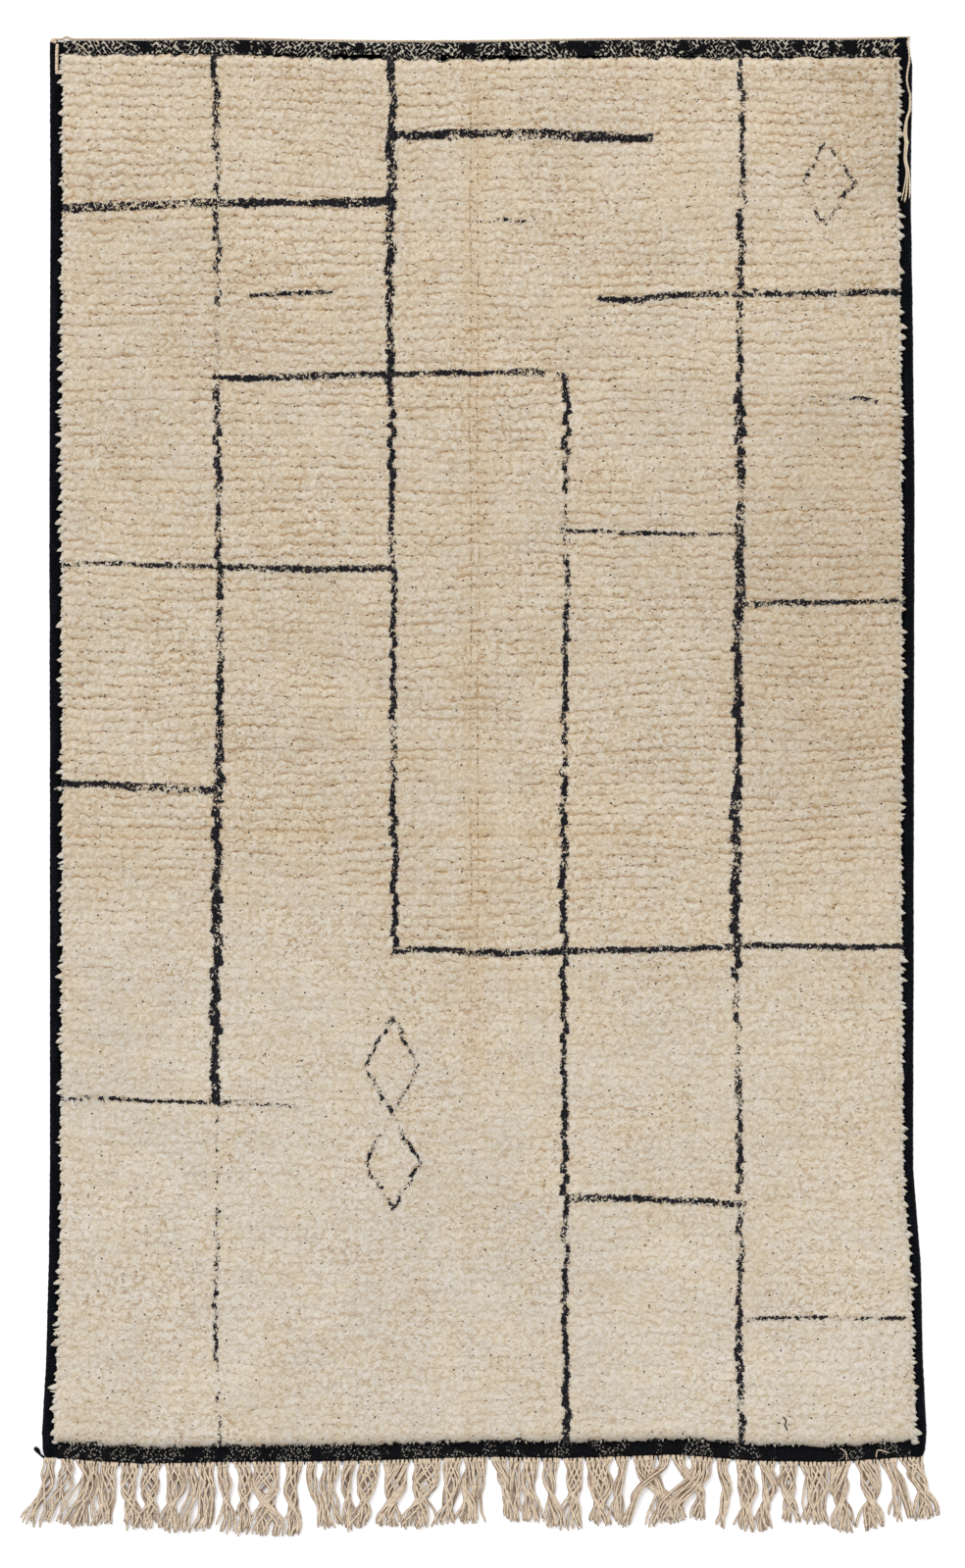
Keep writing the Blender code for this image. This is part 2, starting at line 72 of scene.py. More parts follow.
# Sockets of a colour Mix node
MIX_A, MIX_B, MIX_OUT = 6, 7, 2

# How far each side bulges out: below the top edge, at the left side, at the right side
SIDE_BULGES = (
    (0.000, 0.000, -0.0085), (0.050, 0.000, 0.0000), (0.262, -0.001, -0.0030),
    (0.520, 0.000, 0.0010), (0.800, 0.001, 0.0040), (1.250, 0.000, 0.0030),
    (2.000, 0.000, 0.0015), (2.170, 0.002, 0.0150), (2.350, 0.007, 0.0190),
    (2.468, 0.014, 0.0255), (2.520, 0.012, 0.0205),
)
# How far each end bulges out: x, at the top end, at the bottom end
END_BULGES = (
    (-0.80, 0.000, -0.006), (-0.69, 0.000, 0.003), (-0.60, 0.000, 0.008),
    (-0.45, 0.002, 0.005), (-0.22, -0.003, 0.003), (0.00, -0.003, -0.004),
    (0.16, 0.000, -0.002), (0.35, 0.002, -0.008), (0.48, 0.002, 0.003),
    (0.62, 0.001, 0.005), (0.80, 0.004, -0.006),
)
# The side cord's section: in from its outer edge, and up
CORD_SECTION = (
    (0.0000, 0.0000), (0.0004, 0.0055), (0.0028, 0.0096), (0.0078, 0.0115),
    (0.0134, 0.0106), (0.0172, 0.0078), (0.0180, 0.0040), (0.0250, 0.0040),
    (0.0250, 0.0000),
)
# Loose ends: below the top edge, and in from the side's outer edge
LOOSE_CORD_ROUTE = (
    (0.009, 0.0024), (0.027, 0.0026), (0.042, 0.0048), (0.062, 0.0094),
    (0.077, 0.0102), (0.092, 0.0073), (0.102, 0.0042), (0.116, 0.0032),
    (0.131, 0.0042), (0.143, 0.0082), (0.163, 0.0118), (0.177, 0.0112),
    (0.187, 0.0094), (0.202, 0.0108), (0.219, 0.0108), (0.232, 0.0078),
    (0.242, 0.0068), (0.257, 0.0072), (0.276, 0.0090), (0.292, 0.0122),
)
CORNER_TAIL_ROUTE = (
    (0.013, 0.0146), (0.027, 0.0136), (0.044, 0.0136), (0.058, 0.0134), (0.066, 0.0142),
)
# Short ends of cream yarn caught on the end bands, and a dark one on the pile: x and y
BAND_ENDS = (
    ((-0.7165, 1.2481), (-0.7050, 1.2410), (-0.6957, 1.2307)),
    ((-0.6818, 1.2533), (-0.6766, 1.2481), (-0.6800, 1.2429)),
    ((0.7235, 1.2498), (0.7300, 1.2452), (0.7356, 1.2394)),
    ((0.7426, 1.2498), (0.7320, 1.2400), (0.7226, 1.2281)),
    ((0.6342, -1.2376), (0.6420, -1.2420), (0.6470, -1.2498), (0.6462, -1.2600)),
    ((0.6991, -1.2567), (0.7003, -1.2450), (0.7043, -1.2411), (0.7235, -1.2463)),
)
PILE_ENDS = (
    ((0.5330, -1.1800), (0.5385, -1.1870), (0.5370, -1.1960), (0.5420, -1.2050)),
)
# The corner tuft: out from the left edge, below the top edge, and its radius there
CORNER_TUFT = (
    (-0.0040, 2.5135, 0.0020), (0.0018, 2.5098, 0.0022), (0.0056, 2.5058, 0.0020),
    (0.0088, 2.5010, 0.0034), (0.0112, 2.4985, 0.0047), (0.0140, 2.4965, 0.0030),
)


class Side(Enum):
    """A long side of the rug. Its value is the sign of x there."""

    LEFT = -1
    RIGHT = 1


class End(Enum):
    """A short end of the rug. Its value is the sign of y there."""

    BOTTOM = -1
    TOP = 1


class Slot(Enum):
    """The record's material slots."""

    GROUND = "ground_weave"
    BAND = "dark_band"
    SELVEDGE = "dark_selvedge"
    PILE = "cream_pile"
    WARP = "cream_warp"


# --- Small tools ---


def linear(colour: str) -> Triple:
    """Turn an sRGB hex colour into linear red, green and blue.

    Args:
        colour: Six hex digits after a hash sign.

    Returns:
        The three linear values.
    """
    parts = (int(colour[k : k + 2], 16) / 255 for k in (1, 3, 5))
    return tuple(c / 12.92 if c <= 0.04045 else ((c + 0.055) / 1.055) ** 2.4 for c in parts)


def smoothstep(low: float, high: float, value: Array) -> Array:
    """Ease from 0 at low to 1 at high: 3t squared less 2t cubed, where t is the share between."""
    t = np.clip((value - low) / (high - low), 0.0, 1.0)
    return t * t * (3 - 2 * t)


def scatter(a: Array, b: Array, seed: int) -> Array:
    """Random values from -1 to 1 that depend only on two whole numbers and the seed.

    Args:
        a: Whole numbers.
        b: Whole numbers, of a shape that goes with a's.
        seed: Which set of values.

    Returns:
        The values, from an integer hash: multiply, fold the high bits down, twice.
    """
    mask = np.uint64(0xFFFFFFFF)
    mixed = np.asarray(a, np.int64).astype(np.uint64) * np.uint64(374761393)
    mixed = mixed + np.asarray(b, np.int64).astype(np.uint64) * np.uint64(668265263)
    mixed = (mixed + np.uint64(seed * 144665 + 97)) & mask
    mixed = ((mixed ^ (mixed >> np.uint64(13))) * np.uint64(1274126177)) & mask
    mixed = ((mixed ^ (mixed >> np.uint64(15))) * np.uint64(2246822519)) & mask
    mixed = mixed ^ (mixed >> np.uint64(16))
    return (mixed & np.uint64(0xFFFF)).astype(float) / 32767.5 - 1


def noise(u: Array, v: Array, seed: int) -> Array:
    """Smooth noise from -1 to 1: random values at whole u and v, eased between the four round each.

    Args:
        u: First coordinate, one unit to a lump.
        v: Second coordinate.
        seed: Which noise.

    Returns:
        The noise at each point.
    """
    u, v = np.broadcast_arrays(np.asarray(u, float), np.asarray(v, float))
    cell_u, cell_v = np.floor(u), np.floor(v)
    s, t = u - cell_u, v - cell_v
    s, t = s * s * (3 - 2 * s), t * t * (3 - 2 * t)
    low = scatter(cell_u, cell_v, seed) * (1 - s) + scatter(cell_u + 1, cell_v, seed) * s
    high = scatter(cell_u, cell_v + 1, seed) * (1 - s) + scatter(cell_u + 1, cell_v + 1, seed) * s
    return low * (1 - t) + high * t


def xyz(x: Array | float, y: Array | float, z: Array | float) -> Array:
    """Points with these coordinates, of their common shape and three more."""
    return np.stack(np.broadcast_arrays(x, y, z), axis=-1)


def smooth_path(points: Array, count: int) -> Array:
    """A Catmull-Rom curve through points, cut into even steps.

    Args:
        points: (n, 3) points to pass through.
        count: How many points to return.

    Returns:
        (count, 3) points: the cubic between each two given ones, then evened out by length.
    """
    knots = np.vstack([2 * points[0] - points[1], points, 2 * points[-1] - points[-2]])
    t = np.linspace(0, 1, 12, endpoint=False)[None, :, None]
    a, b, c, d = (knots[k : len(knots) - 3 + k][:, None] for k in range(4))
    fine = 2 * b + (c - a) * t + (2 * a - 5 * b + 4 * c - d) * t**2
    fine = 0.5 * (fine + (3 * b - a - 3 * c + d) * t**3)
    fine = np.vstack([fine.reshape(-1, 3), points[-1]])
    gone = np.append(0, np.cumsum(np.linalg.norm(np.diff(fine, axis=0), axis=1)))
    even = np.linspace(0, gone[-1], count)
    return np.stack([np.interp(even, gone, fine[:, k]) for k in range(3)], axis=1)


def frames(paths: Array) -> tuple[Array, Array]:
    """Two directions across each path at each station, for paths that never stand upright.

    Args:
        paths: (..., stations, 3).

    Returns:
        The level one, which is the run crossed with up, and the one square to both.
    """
    run = np.gradient(paths, axis=-2)
    run /= np.maximum(np.linalg.norm(run, axis=-1, keepdims=True), 1e-12)
    level = np.cross(run, (0.0, 0.0, 1.0))
    level /= np.maximum(np.linalg.norm(level, axis=-1, keepdims=True), 1e-9)
    return level, np.cross(level, run)


def run_length(paths: Array) -> Array:
    """How far along each path each station is."""
    steps = np.linalg.norm(np.diff(paths, axis=-2), axis=-1)
    return np.concatenate([np.zeros_like(steps[..., :1]), np.cumsum(steps, axis=-1)], axis=-1)


def ply_paths(path: Array, plies: int, offset: float, pitch: float) -> Array:
    """The middles of a cord's plies, which wind round its path as a helix.

    Args:
        path: (stations, 3).
        plies: How many.
        offset: From the cord's middle to a ply's middle.
        pitch: Length of one full turn.

    Returns:
        (plies, stations, 3).
    """
    level, upper = frames(path)
    turn = 2 * np.pi * (run_length(path) / pitch + np.arange(plies)[:, None] / plies)
    return path + offset * (np.cos(turn)[..., None] * level + np.sin(turn)[..., None] * upper)


def arches(starts: Array, stops: Array, count: int, rise: float) -> Array:
    """Paths that run straight from start to stop, raised by half a sine on the way.

    Args:
        starts: (n, 3).
        stops: (n, 3).
        count: Stations on each.
        rise: How much in the middle.

    Returns:
        (n, count, 3).
    """
    t = np.linspace(0, 1, count)[None, :, None]
    paths = starts[:, None] + t * (stops - starts)[:, None]
    paths[..., 2] += rise * np.sin(np.pi * t[..., 0])
    return paths


def linked(name: str, data: bpy.types.ID) -> Piece:
    """A new object in the scene, at the origin.

    Args:
        name: Its name.
        data: Its mesh, light or camera.

    Returns:
        The object.
    """
    made = bpy.data.objects.new(name, data)
    bpy.context.scene.collection.objects.link(made)
    return made


@dataclass
class PieceMesh:
    """Points and faces that become one mesh, with a UV pair a corner and named values a point."""

    name: str
    points: list[Array] = field(default_factory=list)
    faces: list[Array] = field(default_factory=list)
    corners: list[Array] = field(default_factory=list)
    values: dict[str, list[Array]] = field(default_factory=dict)
    count: int = 0

    def add_points(self, points: Array, values: Values) -> Array:
        """Take points and their named values.

        Args:
            points: (..., 3).
            values: Arrays of the points' own shape, or with three more for a colour.

        Returns:
            Their indices, in their shape.
        """
        index = self.count + np.arange(points[..., 0].size).reshape(points.shape[:-1])
        self.points.append(points.reshape(-1, 3))
        self.count += index.size
        for name, value in values.items():
            width = value.shape[points.ndim - 1 :]
            self.values.setdefault(name, []).append(value.reshape(-1, *width))
        return index

    def add_faces(self, faces: Array, corners: Array | None = None) -> None:
        """Take faces of one size.

        Args:
            faces: Indices of points, (n, sides).
            corners: Their UVs, (n, sides, 2), or zeros.
        """
        self.faces.append(faces)
        uv = np.zeros((faces.size, 2)) if corners is None else corners.reshape(-1, 2)
        self.corners.append(uv)

    def add_grid(self, points: Array, values: Values) -> None:
        """Take an open grid whose columns run to the right and rows upwards, seen from outside."""
        self.add_faces(quads(self.add_points(points, values)))

    def add_tubes(self, rings: Array, values: Values, along: Array) -> None:
        """Take closed tubes with capped ends.

        Args:
            rings: (tubes, stations, sides, 3), turning to the left seen along the run.
            values: Named values of the shape (tubes, stations, sides).
            along: (tubes, stations), the v of the UV map. Its u counts turns round the tube.
        """
        tubes, stations, sides, _ = rings.shape
        index = self.add_points(rings, values)
        closed = np.concatenate([index, index[..., :1]], axis=2)
        around = np.broadcast_to(np.linspace(0, 1, sides + 1), (tubes, stations, sides + 1))
        uv = np.stack([around, np.broadcast_to(along[..., None], around.shape)], axis=-1)
        for tube in range(tubes):
            self.add_faces(quads(closed[tube])[:, ::-1], quads(uv[tube])[:, ::-1])
        for ring, turn in ((0, 1), (stations - 1, -1)):
            ends = np.broadcast_to(uv[:, ring, :1], (tubes, sides, 2))
            self.add_faces(index[:, ring, ::turn], ends)

    def add_yarns(self, paths: Array, radii: Array, sides: int) -> None:
        """Take plain round tubes along paths, as tube_rings and add_tubes say."""
        self.add_tubes(tube_rings(paths, radii, sides), {}, run_length(paths))

    def add_wall(self, lower: Array, upper: Array) -> None:
        """Join two rings of points, which turn to the left seen from above, by quads."""
        self.add_faces(np.stack([lower, np.roll(lower, -1), np.roll(upper, -1), upper], axis=1))

    def drop_rim(self, top: Array, values: Values, floor: float) -> Array:
        """Add the walls under a grid, which is all that the mesh has so far.

        Args:
            top: The grid's points, (rows, columns, 3).
            values: Their named values.
            floor: The z at the walls' foot.

        Returns:
            The indices of the points round the foot.
        """
        rim = rim_of(np.arange(top[..., 0].size).reshape(top.shape[:2]))
        low = top.reshape(-1, 3)[rim].copy()
        low[:, 2] = floor
        own = {name: value.reshape(-1, *value.shape[2:])[rim] for name, value in values.items()}
        ring = self.add_points(low, own)
        self.add_wall(ring, rim)
        return ring

    def make(self, material: Material, shift: Array) -> Piece:
        """Make the mesh and its object.

        Args:
            material: Its finish.
            shift: x and y to add, from the body's own plan to the frame's.

        Returns:
            The object, at the origin, with its place in its mesh.
        """
        mesh = bpy.data.meshes.new(self.name)
        points = np.concatenate(self.points) + np.array([*shift, 0.0])
        sizes = np.concatenate([np.full(len(f), f.shape[1]) for f in self.faces])
        corners = np.concatenate([f.ravel() for f in self.faces])
        mesh.vertices.add(len(points))
        mesh.vertices.foreach_set("co", points.astype(np.float32).ravel())
        mesh.loops.add(len(corners))
        mesh.loops.foreach_set("vertex_index", corners.astype(np.int32))
        mesh.polygons.add(len(sizes))
        mesh.polygons.foreach_set("loop_start", (np.cumsum(sizes) - sizes).astype(np.int32))
        mesh.polygons.foreach_set("use_smooth", np.ones(len(sizes), bool))
        mesh.update(calc_edges=True)
        uv = mesh.uv_layers.new(name="UVMap")
        uv.data.foreach_set("uv", np.concatenate(self.corners).astype(np.float32).ravel())
        for name, parts in self.values.items():
            value = np.concatenate(parts)
            if value.ndim == 2:
                layer = mesh.color_attributes.new(name, "FLOAT_COLOR", "POINT")
                full = np.column_stack([value, np.ones(len(value))])
                layer.data.foreach_set("color", full.astype(np.float32).ravel())
            else:
                layer = mesh.attributes.new(name, "FLOAT", "POINT")
                layer.data.foreach_set("value", value.astype(np.float32))
        mesh.materials.append(material)
        made = linked(self.name, mesh)
        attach(made, "root")
        LOG.info("%s: %d triangles", self.name, int((sizes - 2).sum()))
        return made


def quads(grid: Array) -> Array:
    """The four corners of each cell of a grid, turning to the left: (cells, 4, ...)."""
    cells = np.stack([grid[:-1, :-1], grid[:-1, 1:], grid[1:, 1:], grid[1:, :-1]], axis=2)
    return cells.reshape(-1, 4, *grid.shape[2:])


def rim_of(index: Array) -> Array:
    """The points round a grid's rim, turning to the left from its first one."""
    return np.concatenate([index[0, :-1], index[:-1, -1], index[-1, :0:-1], index[:0:-1, 0]])


def tube_rings(paths: Array, radii: Array, sides: int, flat: float = 1.0) -> Array:
    """Rings of points round paths.

    Args:
        paths: (tubes, stations, 3).
        radii: (tubes, stations), the level radius.
        sides: Points in a ring.
        flat: Upright radius as a share of the level one.

    Returns:
        (tubes, stations, sides, 3): the path plus the radius times cosine across and sine up.
    """
    level, upper = frames(paths)
    angle = np.linspace(0, 2 * np.pi, sides, endpoint=False)[:, None]
    across = np.cos(angle) * level[..., None, :] + flat * np.sin(angle) * upper[..., None, :]
    return paths[..., None, :] + radii[..., None, None] * across


# --- The rug's plan ---


@dataclass(frozen=True)
class Outline:
    """Where the woven body's edges lie, and how far its plan is moved to match the frame."""

    shift: Array
    half_width: float = 0.7635
    length: float = 2.517

    def side_edge(self, y: Array | float, side: Side) -> Array:
        """The x of a side's outer edge at each y: the half width and that side's bulge."""
        down, bulge = np.array(SIDE_BULGES).T[[0, 1 if side is Side.LEFT else 2]]
        return side.value * (self.half_width + np.interp(self.length / 2 - y, down, bulge))

    def end_edge(self, x: Array | float, end: End, inset: Array | float = 0.0) -> Array:
        """The y of an end's edge at each x: half the length, less the inset, and its bulge."""
        at, bulge = np.array(END_BULGES).T[[0, 2 if end is End.BOTTOM else 1]]
        return end.value * (self.length / 2 - inset + np.interp(x, at, bulge))

    def side_point(self, down: Array, inset: Array, side: Side) -> tuple[Array, Array]:
        """The x and y of points below the top edge and in from a side."""
        y = self.length / 2 - down
        return self.side_edge(y, side) - side.value * inset, y

    def across(self, y: Array, inset: float, share: Array) -> Array:
        """The x of points a share of the way across, from an inset to the same at the right."""
        left = self.side_edge(y, Side.LEFT) + inset
        return left + share * (self.side_edge(y, Side.RIGHT) - inset - left)

    @classmethod
    def of_frame(cls) -> "Outline":
        """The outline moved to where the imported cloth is.

        Returns:
            It with the shift that brings the ground's left edge and the bottom band's lowest
            point to their places in the frame.
        """
        plan = cls(np.zeros(2))
        down = np.linspace(0.03, 2.48, 500)
        band = np.linspace(-plan.half_width, plan.half_width, 500)
        left = plan.side_edge(plan.length / 2 - down, Side.LEFT).min() + 0.0253
        bottom = plan.end_edge(band, End.BOTTOM).min()
        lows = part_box("ground_weave")[0].x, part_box("end_band_bottom")[0].y
        return cls(np.array([lows[0] - left, lows[1] - bottom]))


HEAVY, USUAL, THIN = 0.015, 0.0105, 0.0055

# The lines: each one's ends, x and y and x and y, its width and how solid it is
STROKES = (
    # long uprights, heavy and faint by turns
    (-0.470, 1.24, -0.466, 0.95, USUAL, 0.66), (-0.466, 0.95, -0.461, 0.12, USUAL, 0.62),
    (-0.461, 0.12, -0.468, -0.62, HEAVY, 0.85), (-0.468, -0.62, -0.462, -1.24, THIN, 0.55),
    (-0.158, 1.24, -0.160, 0.66, HEAVY, 0.88), (-0.160, 0.66, -0.154, -0.36, USUAL, 0.78),
    (0.150, 0.66, 0.146, -0.35, USUAL, 0.58), (0.146, -0.35, 0.152, -1.24, USUAL, 0.80),
    (0.462, 1.24, 0.458, 0.62, USUAL, 0.62), (0.458, 0.62, 0.452, -0.35, HEAVY, 0.80),
    (0.452, -0.35, 0.460, -1.24, USUAL, 0.62),
    # cross bars, staggered like bricks
    (-0.75, 0.955, -0.158, 0.965, HEAVY, 0.85), (-0.158, 1.085, 0.300, 1.078, HEAVY, 0.80),
    (0.210, 0.795, 0.75, 0.805, USUAL, 0.75), (-0.466, 0.655, 0.150, 0.662, USUAL, 0.70),
    (0.150, 0.385, 0.455, 0.378, THIN, 0.65), (0.455, 0.255, 0.75, 0.262, USUAL, 0.85),
    (-0.75, 0.325, -0.160, 0.318, USUAL, 0.74), (-0.75, -0.065, -0.462, -0.072, HEAVY, 0.78),
    (-0.156, -0.360, 0.75, -0.350, USUAL, 0.86), (-0.75, -0.620, -0.330, -0.632, THIN, 0.70),
    (0.152, -0.795, 0.460, -0.805, USUAL, 0.70), (0.460, -1.010, 0.75, -1.004, THIN, 0.60),
    (-0.410, 0.800, -0.260, 0.806, THIN, 0.40), (0.560, 0.620, 0.700, 0.616, THIN, 0.40),
    (-0.060, 0.930, 0.080, 0.934, THIN, 0.35),
    # two small lozenges, one over the other
    (-0.157, -0.475, -0.205, -0.560, THIN, 0.60), (-0.205, -0.560, -0.157, -0.645, THIN, 0.60),
    (-0.157, -0.475, -0.109, -0.560, THIN, 0.60), (-0.109, -0.560, -0.157, -0.645, THIN, 0.50),
    (-0.157, -0.645, -0.205, -0.730, THIN, 0.50), (-0.205, -0.730, -0.157, -0.815, THIN, 0.60),
    (-0.157, -0.645, -0.109, -0.730, THIN, 0.60), (-0.109, -0.730, -0.157, -0.815, THIN, 0.60),
    # one more, alone
    (0.612, 1.075, 0.566, 1.000, THIN, 0.60), (0.566, 1.000, 0.612, 0.925, THIN, 0.55),
    (0.612, 1.075, 0.658, 1.000, THIN, 0.50), (0.658, 1.000, 0.612, 0.925, THIN, 0.60),
)


@dataclass(frozen=True)
class LinePattern:
    """The dark lines that are knotted into the pile, drawn freehand."""

    strokes: tuple = STROKES
    sway: float = 0.005
    sway_step: float = 0.22
    shake: float = 0.0018
    shake_step: float = 0.034

    def at(self, x: Array, y: Array) -> tuple[Array, Array]:
        """How far inside a dark line each point lies.

        A stroke's middle sways along its run, and its half width and strength vary there. The
        depth is the half width less the distance to that middle or to the stroke's end.

        Args:
            x: In the rug's plan.
            y: The same.

        Returns:
            The depth, below 0 outside, and how solid the dark wool is there, from 0 to 1.
        """
        depth = np.full(np.broadcast(x, y).shape, -1.0)
        solid = np.zeros_like(depth)
        for k, (*ends, width, solidity) in enumerate(self.strokes):
            start, end = np.array(ends).reshape(2, 2)
            length = float(np.hypot(*(end - start)))
            unit = (end - start) / length
            along = (x - start[0]) * unit[0] + (y - start[1]) * unit[1]
            off = (y - start[1]) * unit[0] - (x - start[0]) * unit[1]
            fade = np.clip(np.minimum(along, length - along) / 0.05, 0, 1)
            middle = self.sway * fade * noise(along / self.sway_step, 0.5 + k, 3)
            middle = middle + self.shake * noise(along / self.shake_step, 0.5 + k, 4)
            strength = solidity + 0.38 * noise(along / 0.13, 0.5 + k, 5)
            strength = strength + 0.2 * noise(along / 0.022, 0.5 + k, 6)
            strength = np.clip(strength, 0, 1)
            half = width / 2 * (1 + 0.3 * noise(along / 0.06, 0.5 + k, 7))
            half = half * (0.35 + 0.65 * smoothstep(0.1, 0.6, strength))
            past = np.maximum(0, np.maximum(-along, along - length))
            here = half - np.hypot(off - middle, past)
            better = here > depth
            depth = np.where(better, here, depth)
            solid = np.where(better, strength, solid)
        return depth, solid


# --- Finishes ---


class Shader:
    """A material's node tree, with short names for the nodes that the finishes share."""

    def __init__(self, name: str) -> None:
        """Start an empty material.

        Args:
            name: The real finish.
        """
        self.material = bpy.data.materials.new(name)
        self.material.use_nodes = True
        self.tree = self.material.node_tree
        self.tree.nodes.clear()
        coordinates = self.node("TexCoord", {})
        self.place = coordinates.outputs["Object"]
        self.uv = self.node("SeparateXYZ", {0: coordinates.outputs["UV"]}).outputs
        normal = self.node("NewGeometry", {}).outputs["Normal"]
        self.up = self.node("SeparateXYZ", {0: normal}).outputs["Z"]

    def node(self, kind: str, inputs: dict, **settings: object) -> bpy.types.Node:
        """Add one node with its settings and links.

        Args:
            kind: The node's type, without its ShaderNode prefix.
            inputs: A value or an output to link, by the input's name or number.
            settings: The node's own settings.

        Returns:
            The node.
        """
        node = self.tree.nodes.new("ShaderNode" + kind)
        for name, value in settings.items():
            setattr(node, name, value)
        for key, value in inputs.items():
            if isinstance(value, Socket):
                self.tree.links.new(value, node.inputs[key])
            else:
                node.inputs[key].default_value = value
        return node

    def value(self, name: str) -> Socket:
        """One of the mesh's own values."""
        return self.node("Attribute", {}, attribute_name=name).outputs["Fac"]

    def math(self, operation: str, *values: Socket | float) -> Socket:
        """One sum, by the Math node's name for it."""
        return self.node("Math", dict(enumerate(values)), operation=operation).outputs[0]

    def times(self, a: Socket | float, b: Socket | float) -> Socket:
        """The product."""
        return self.math("MULTIPLY", a, b)

    def plus(self, a: Socket | float, b: Socket | float, share: float = 1.0) -> Socket:
        """The first plus a share of the second."""
        return self.math("MULTIPLY_ADD", b, share, a)

    def ramp(
        self, source: Socket, low: float, high: float, out: tuple[float, float] = (0.0, 1.0)
    ) -> Socket:
        """The source from low to high, eased and clamped, over the range out.

        Args:
            source: A number.
            low: Its value at the range's start. It may be above high.
            high: Its value at the range's end.
            out: The range.

        Returns:
            The eased number.
        """
        inputs = {"Value": source, "From Min": low, "From Max": high}
        inputs |= {"To Min": out[0], "To Max": out[1]}
        kind = {"interpolation_type": "SMOOTHSTEP"}
        return self.node("MapRange", inputs, **kind).outputs["Result"]

    def placed(self, stretch: Triple, turn: float = 0.0) -> Socket:
        """Object coordinates turned about z by degrees and then scaled.

        Args:
            stretch: Scale along each axis. A small one draws a pattern out along that axis.
            turn: Degrees.

        Returns:
            The coordinates.
        """
        source = self.place
        if turn:
            spin = {"Vector": source, "Rotation": (0.0, 0.0, math.radians(turn))}
            source = self.node("Mapping", spin).outputs[0]
        return self.node("Mapping", {"Vector": source, "Scale": stretch}).outputs[0]

    def bent(self, stretch: Triple, size: float, reach: float) -> Socket:
        """Object coordinates, scaled and then moved by noise.

        Args:
            stretch: Scale along each axis.
            size: Of the noise, in metres.
            reach: How far apart the noise's lows and highs move a point, in metres.

        Returns:
            The coordinates.
        """
        bend = self.node("TexNoise", {"Vector": self.place, "Scale": 1 / size, "Detail": 1.0})
        inputs = {0: bend.outputs["Color"], 1: (0.5, 0.5, 0.5)}
        moved = self.node("VectorMath", inputs, operation="SUBTRACT").outputs["Vector"]
        inputs = {0: self.placed(stretch), 1: self.scaled(moved, reach)}
        return self.node("VectorMath", inputs, operation="ADD").outputs["Vector"]

    def grain(
        self, size: float, detail: float = 2.0, warp: float = 0.0,
        stretch: Triple = (1.0, 1.0, 1.0), turn: float = 0.0,
    ) -> Socket:
        """Smooth noise whose lumps are about half the given size.

        Args:
            size: In metres.
            detail: How many finer layers it has.
            warp: How far it bends itself.
            stretch: Scale along each axis.
            turn: Degrees about z.

        Returns:
            The noise, which varies about 0.5.
        """
        inputs = {"Vector": self.placed(stretch, turn), "Scale": 1 / size}
        inputs |= {"Detail": detail, "Distortion": warp}
        return self.node("TexNoise", inputs).outputs["Fac"]

    def cells(self, size: float, stretch: Triple, turn: float, loose: float) -> Socket:
        """How far each point is from the nearest of scattered points.

        Args:
            size: Of a cell, in metres.
            stretch: Scale along each axis.
            turn: Degrees about z.
            loose: 0 for an even grid of points, 1 for points by chance.

        Returns:
            The distance in cell sizes.
        """
        inputs = {"Vector": self.placed(stretch, turn), "Scale": 1 / size, "Randomness": loose}
        return self.node("TexVoronoi", inputs, voronoi_dimensions="2D").outputs["Distance"]

    def spots(self, size: float, reach: float, share: float, stretch: Triple) -> Socket:
        """Soft spots in some of many scattered cells.

        Args:
            size: Of a cell, in metres.
            reach: A spot's radius, in cell sizes.
            share: How many of the cells have one.
            stretch: Scale along each axis.

        Returns:
            1 inside a spot and 0 outside.
        """
        inputs = {"Vector": self.placed(stretch), "Scale": 1 / size}
        cell = self.node("TexVoronoi", inputs, voronoi_dimensions="2D").outputs
        chance = self.node("SeparateColor", {0: cell["Color"]}).outputs[0]
        spot = self.ramp(cell["Distance"], reach, reach * 0.6)
        return self.times(spot, self.math("LESS_THAN", chance, share))

    def mix(self, base: Colour, colour: Colour, amount: Socket | float) -> Socket:
        """The base with an amount of a colour laid over it.

        Args:
            base: An output, four linear numbers or an sRGB hex value.
            colour: The same.
            amount: From 0 to 1.

        Returns:
            The colour.
        """
        base, colour = ((*linear(c), 1.0) if isinstance(c, str) else c for c in (base, colour))
        inputs = {0: amount, MIX_A: base, MIX_B: colour}
        return self.node("Mix", inputs, data_type="RGBA").outputs[MIX_OUT]

    def scaled(self, colour: Socket, light: Socket) -> Socket:
        """A colour times a number."""
        inputs = {"Vector": colour, "Scale": light}
        return self.node("VectorMath", inputs, operation="SCALE").outputs["Vector"]

    def choose(self, first: Socket, second: Socket, which: Socket) -> Socket:
        """A blend of two numbers."""
        return self.node("Mix", {0: which, 2: first, 3: second}, data_type="FLOAT").outputs[0]

    def finish(
        self, colour: Socket, height: Socket, relief: float, strength: float, surface: dict
    ) -> Material:
        """Close the tree with a soft matt surface.

        Args:
            colour: Its base colour.
            height: What the bump reads.
            relief: How many metres one unit of height is.
            strength: Of the bump.
            surface: Values for the surface's other sockets, by name.

        Returns:
            The material.
        """
        bump = {"Height": height, "Distance": relief, "Strength": strength}
        inputs = {"Base Color": colour, "Normal": self.node("Bump", bump).outputs["Normal"]}
        shaded = self.node("BsdfPrincipled", inputs | surface)
        self.node("OutputMaterial", {"Surface": shaded.outputs[0]})
        return self.material


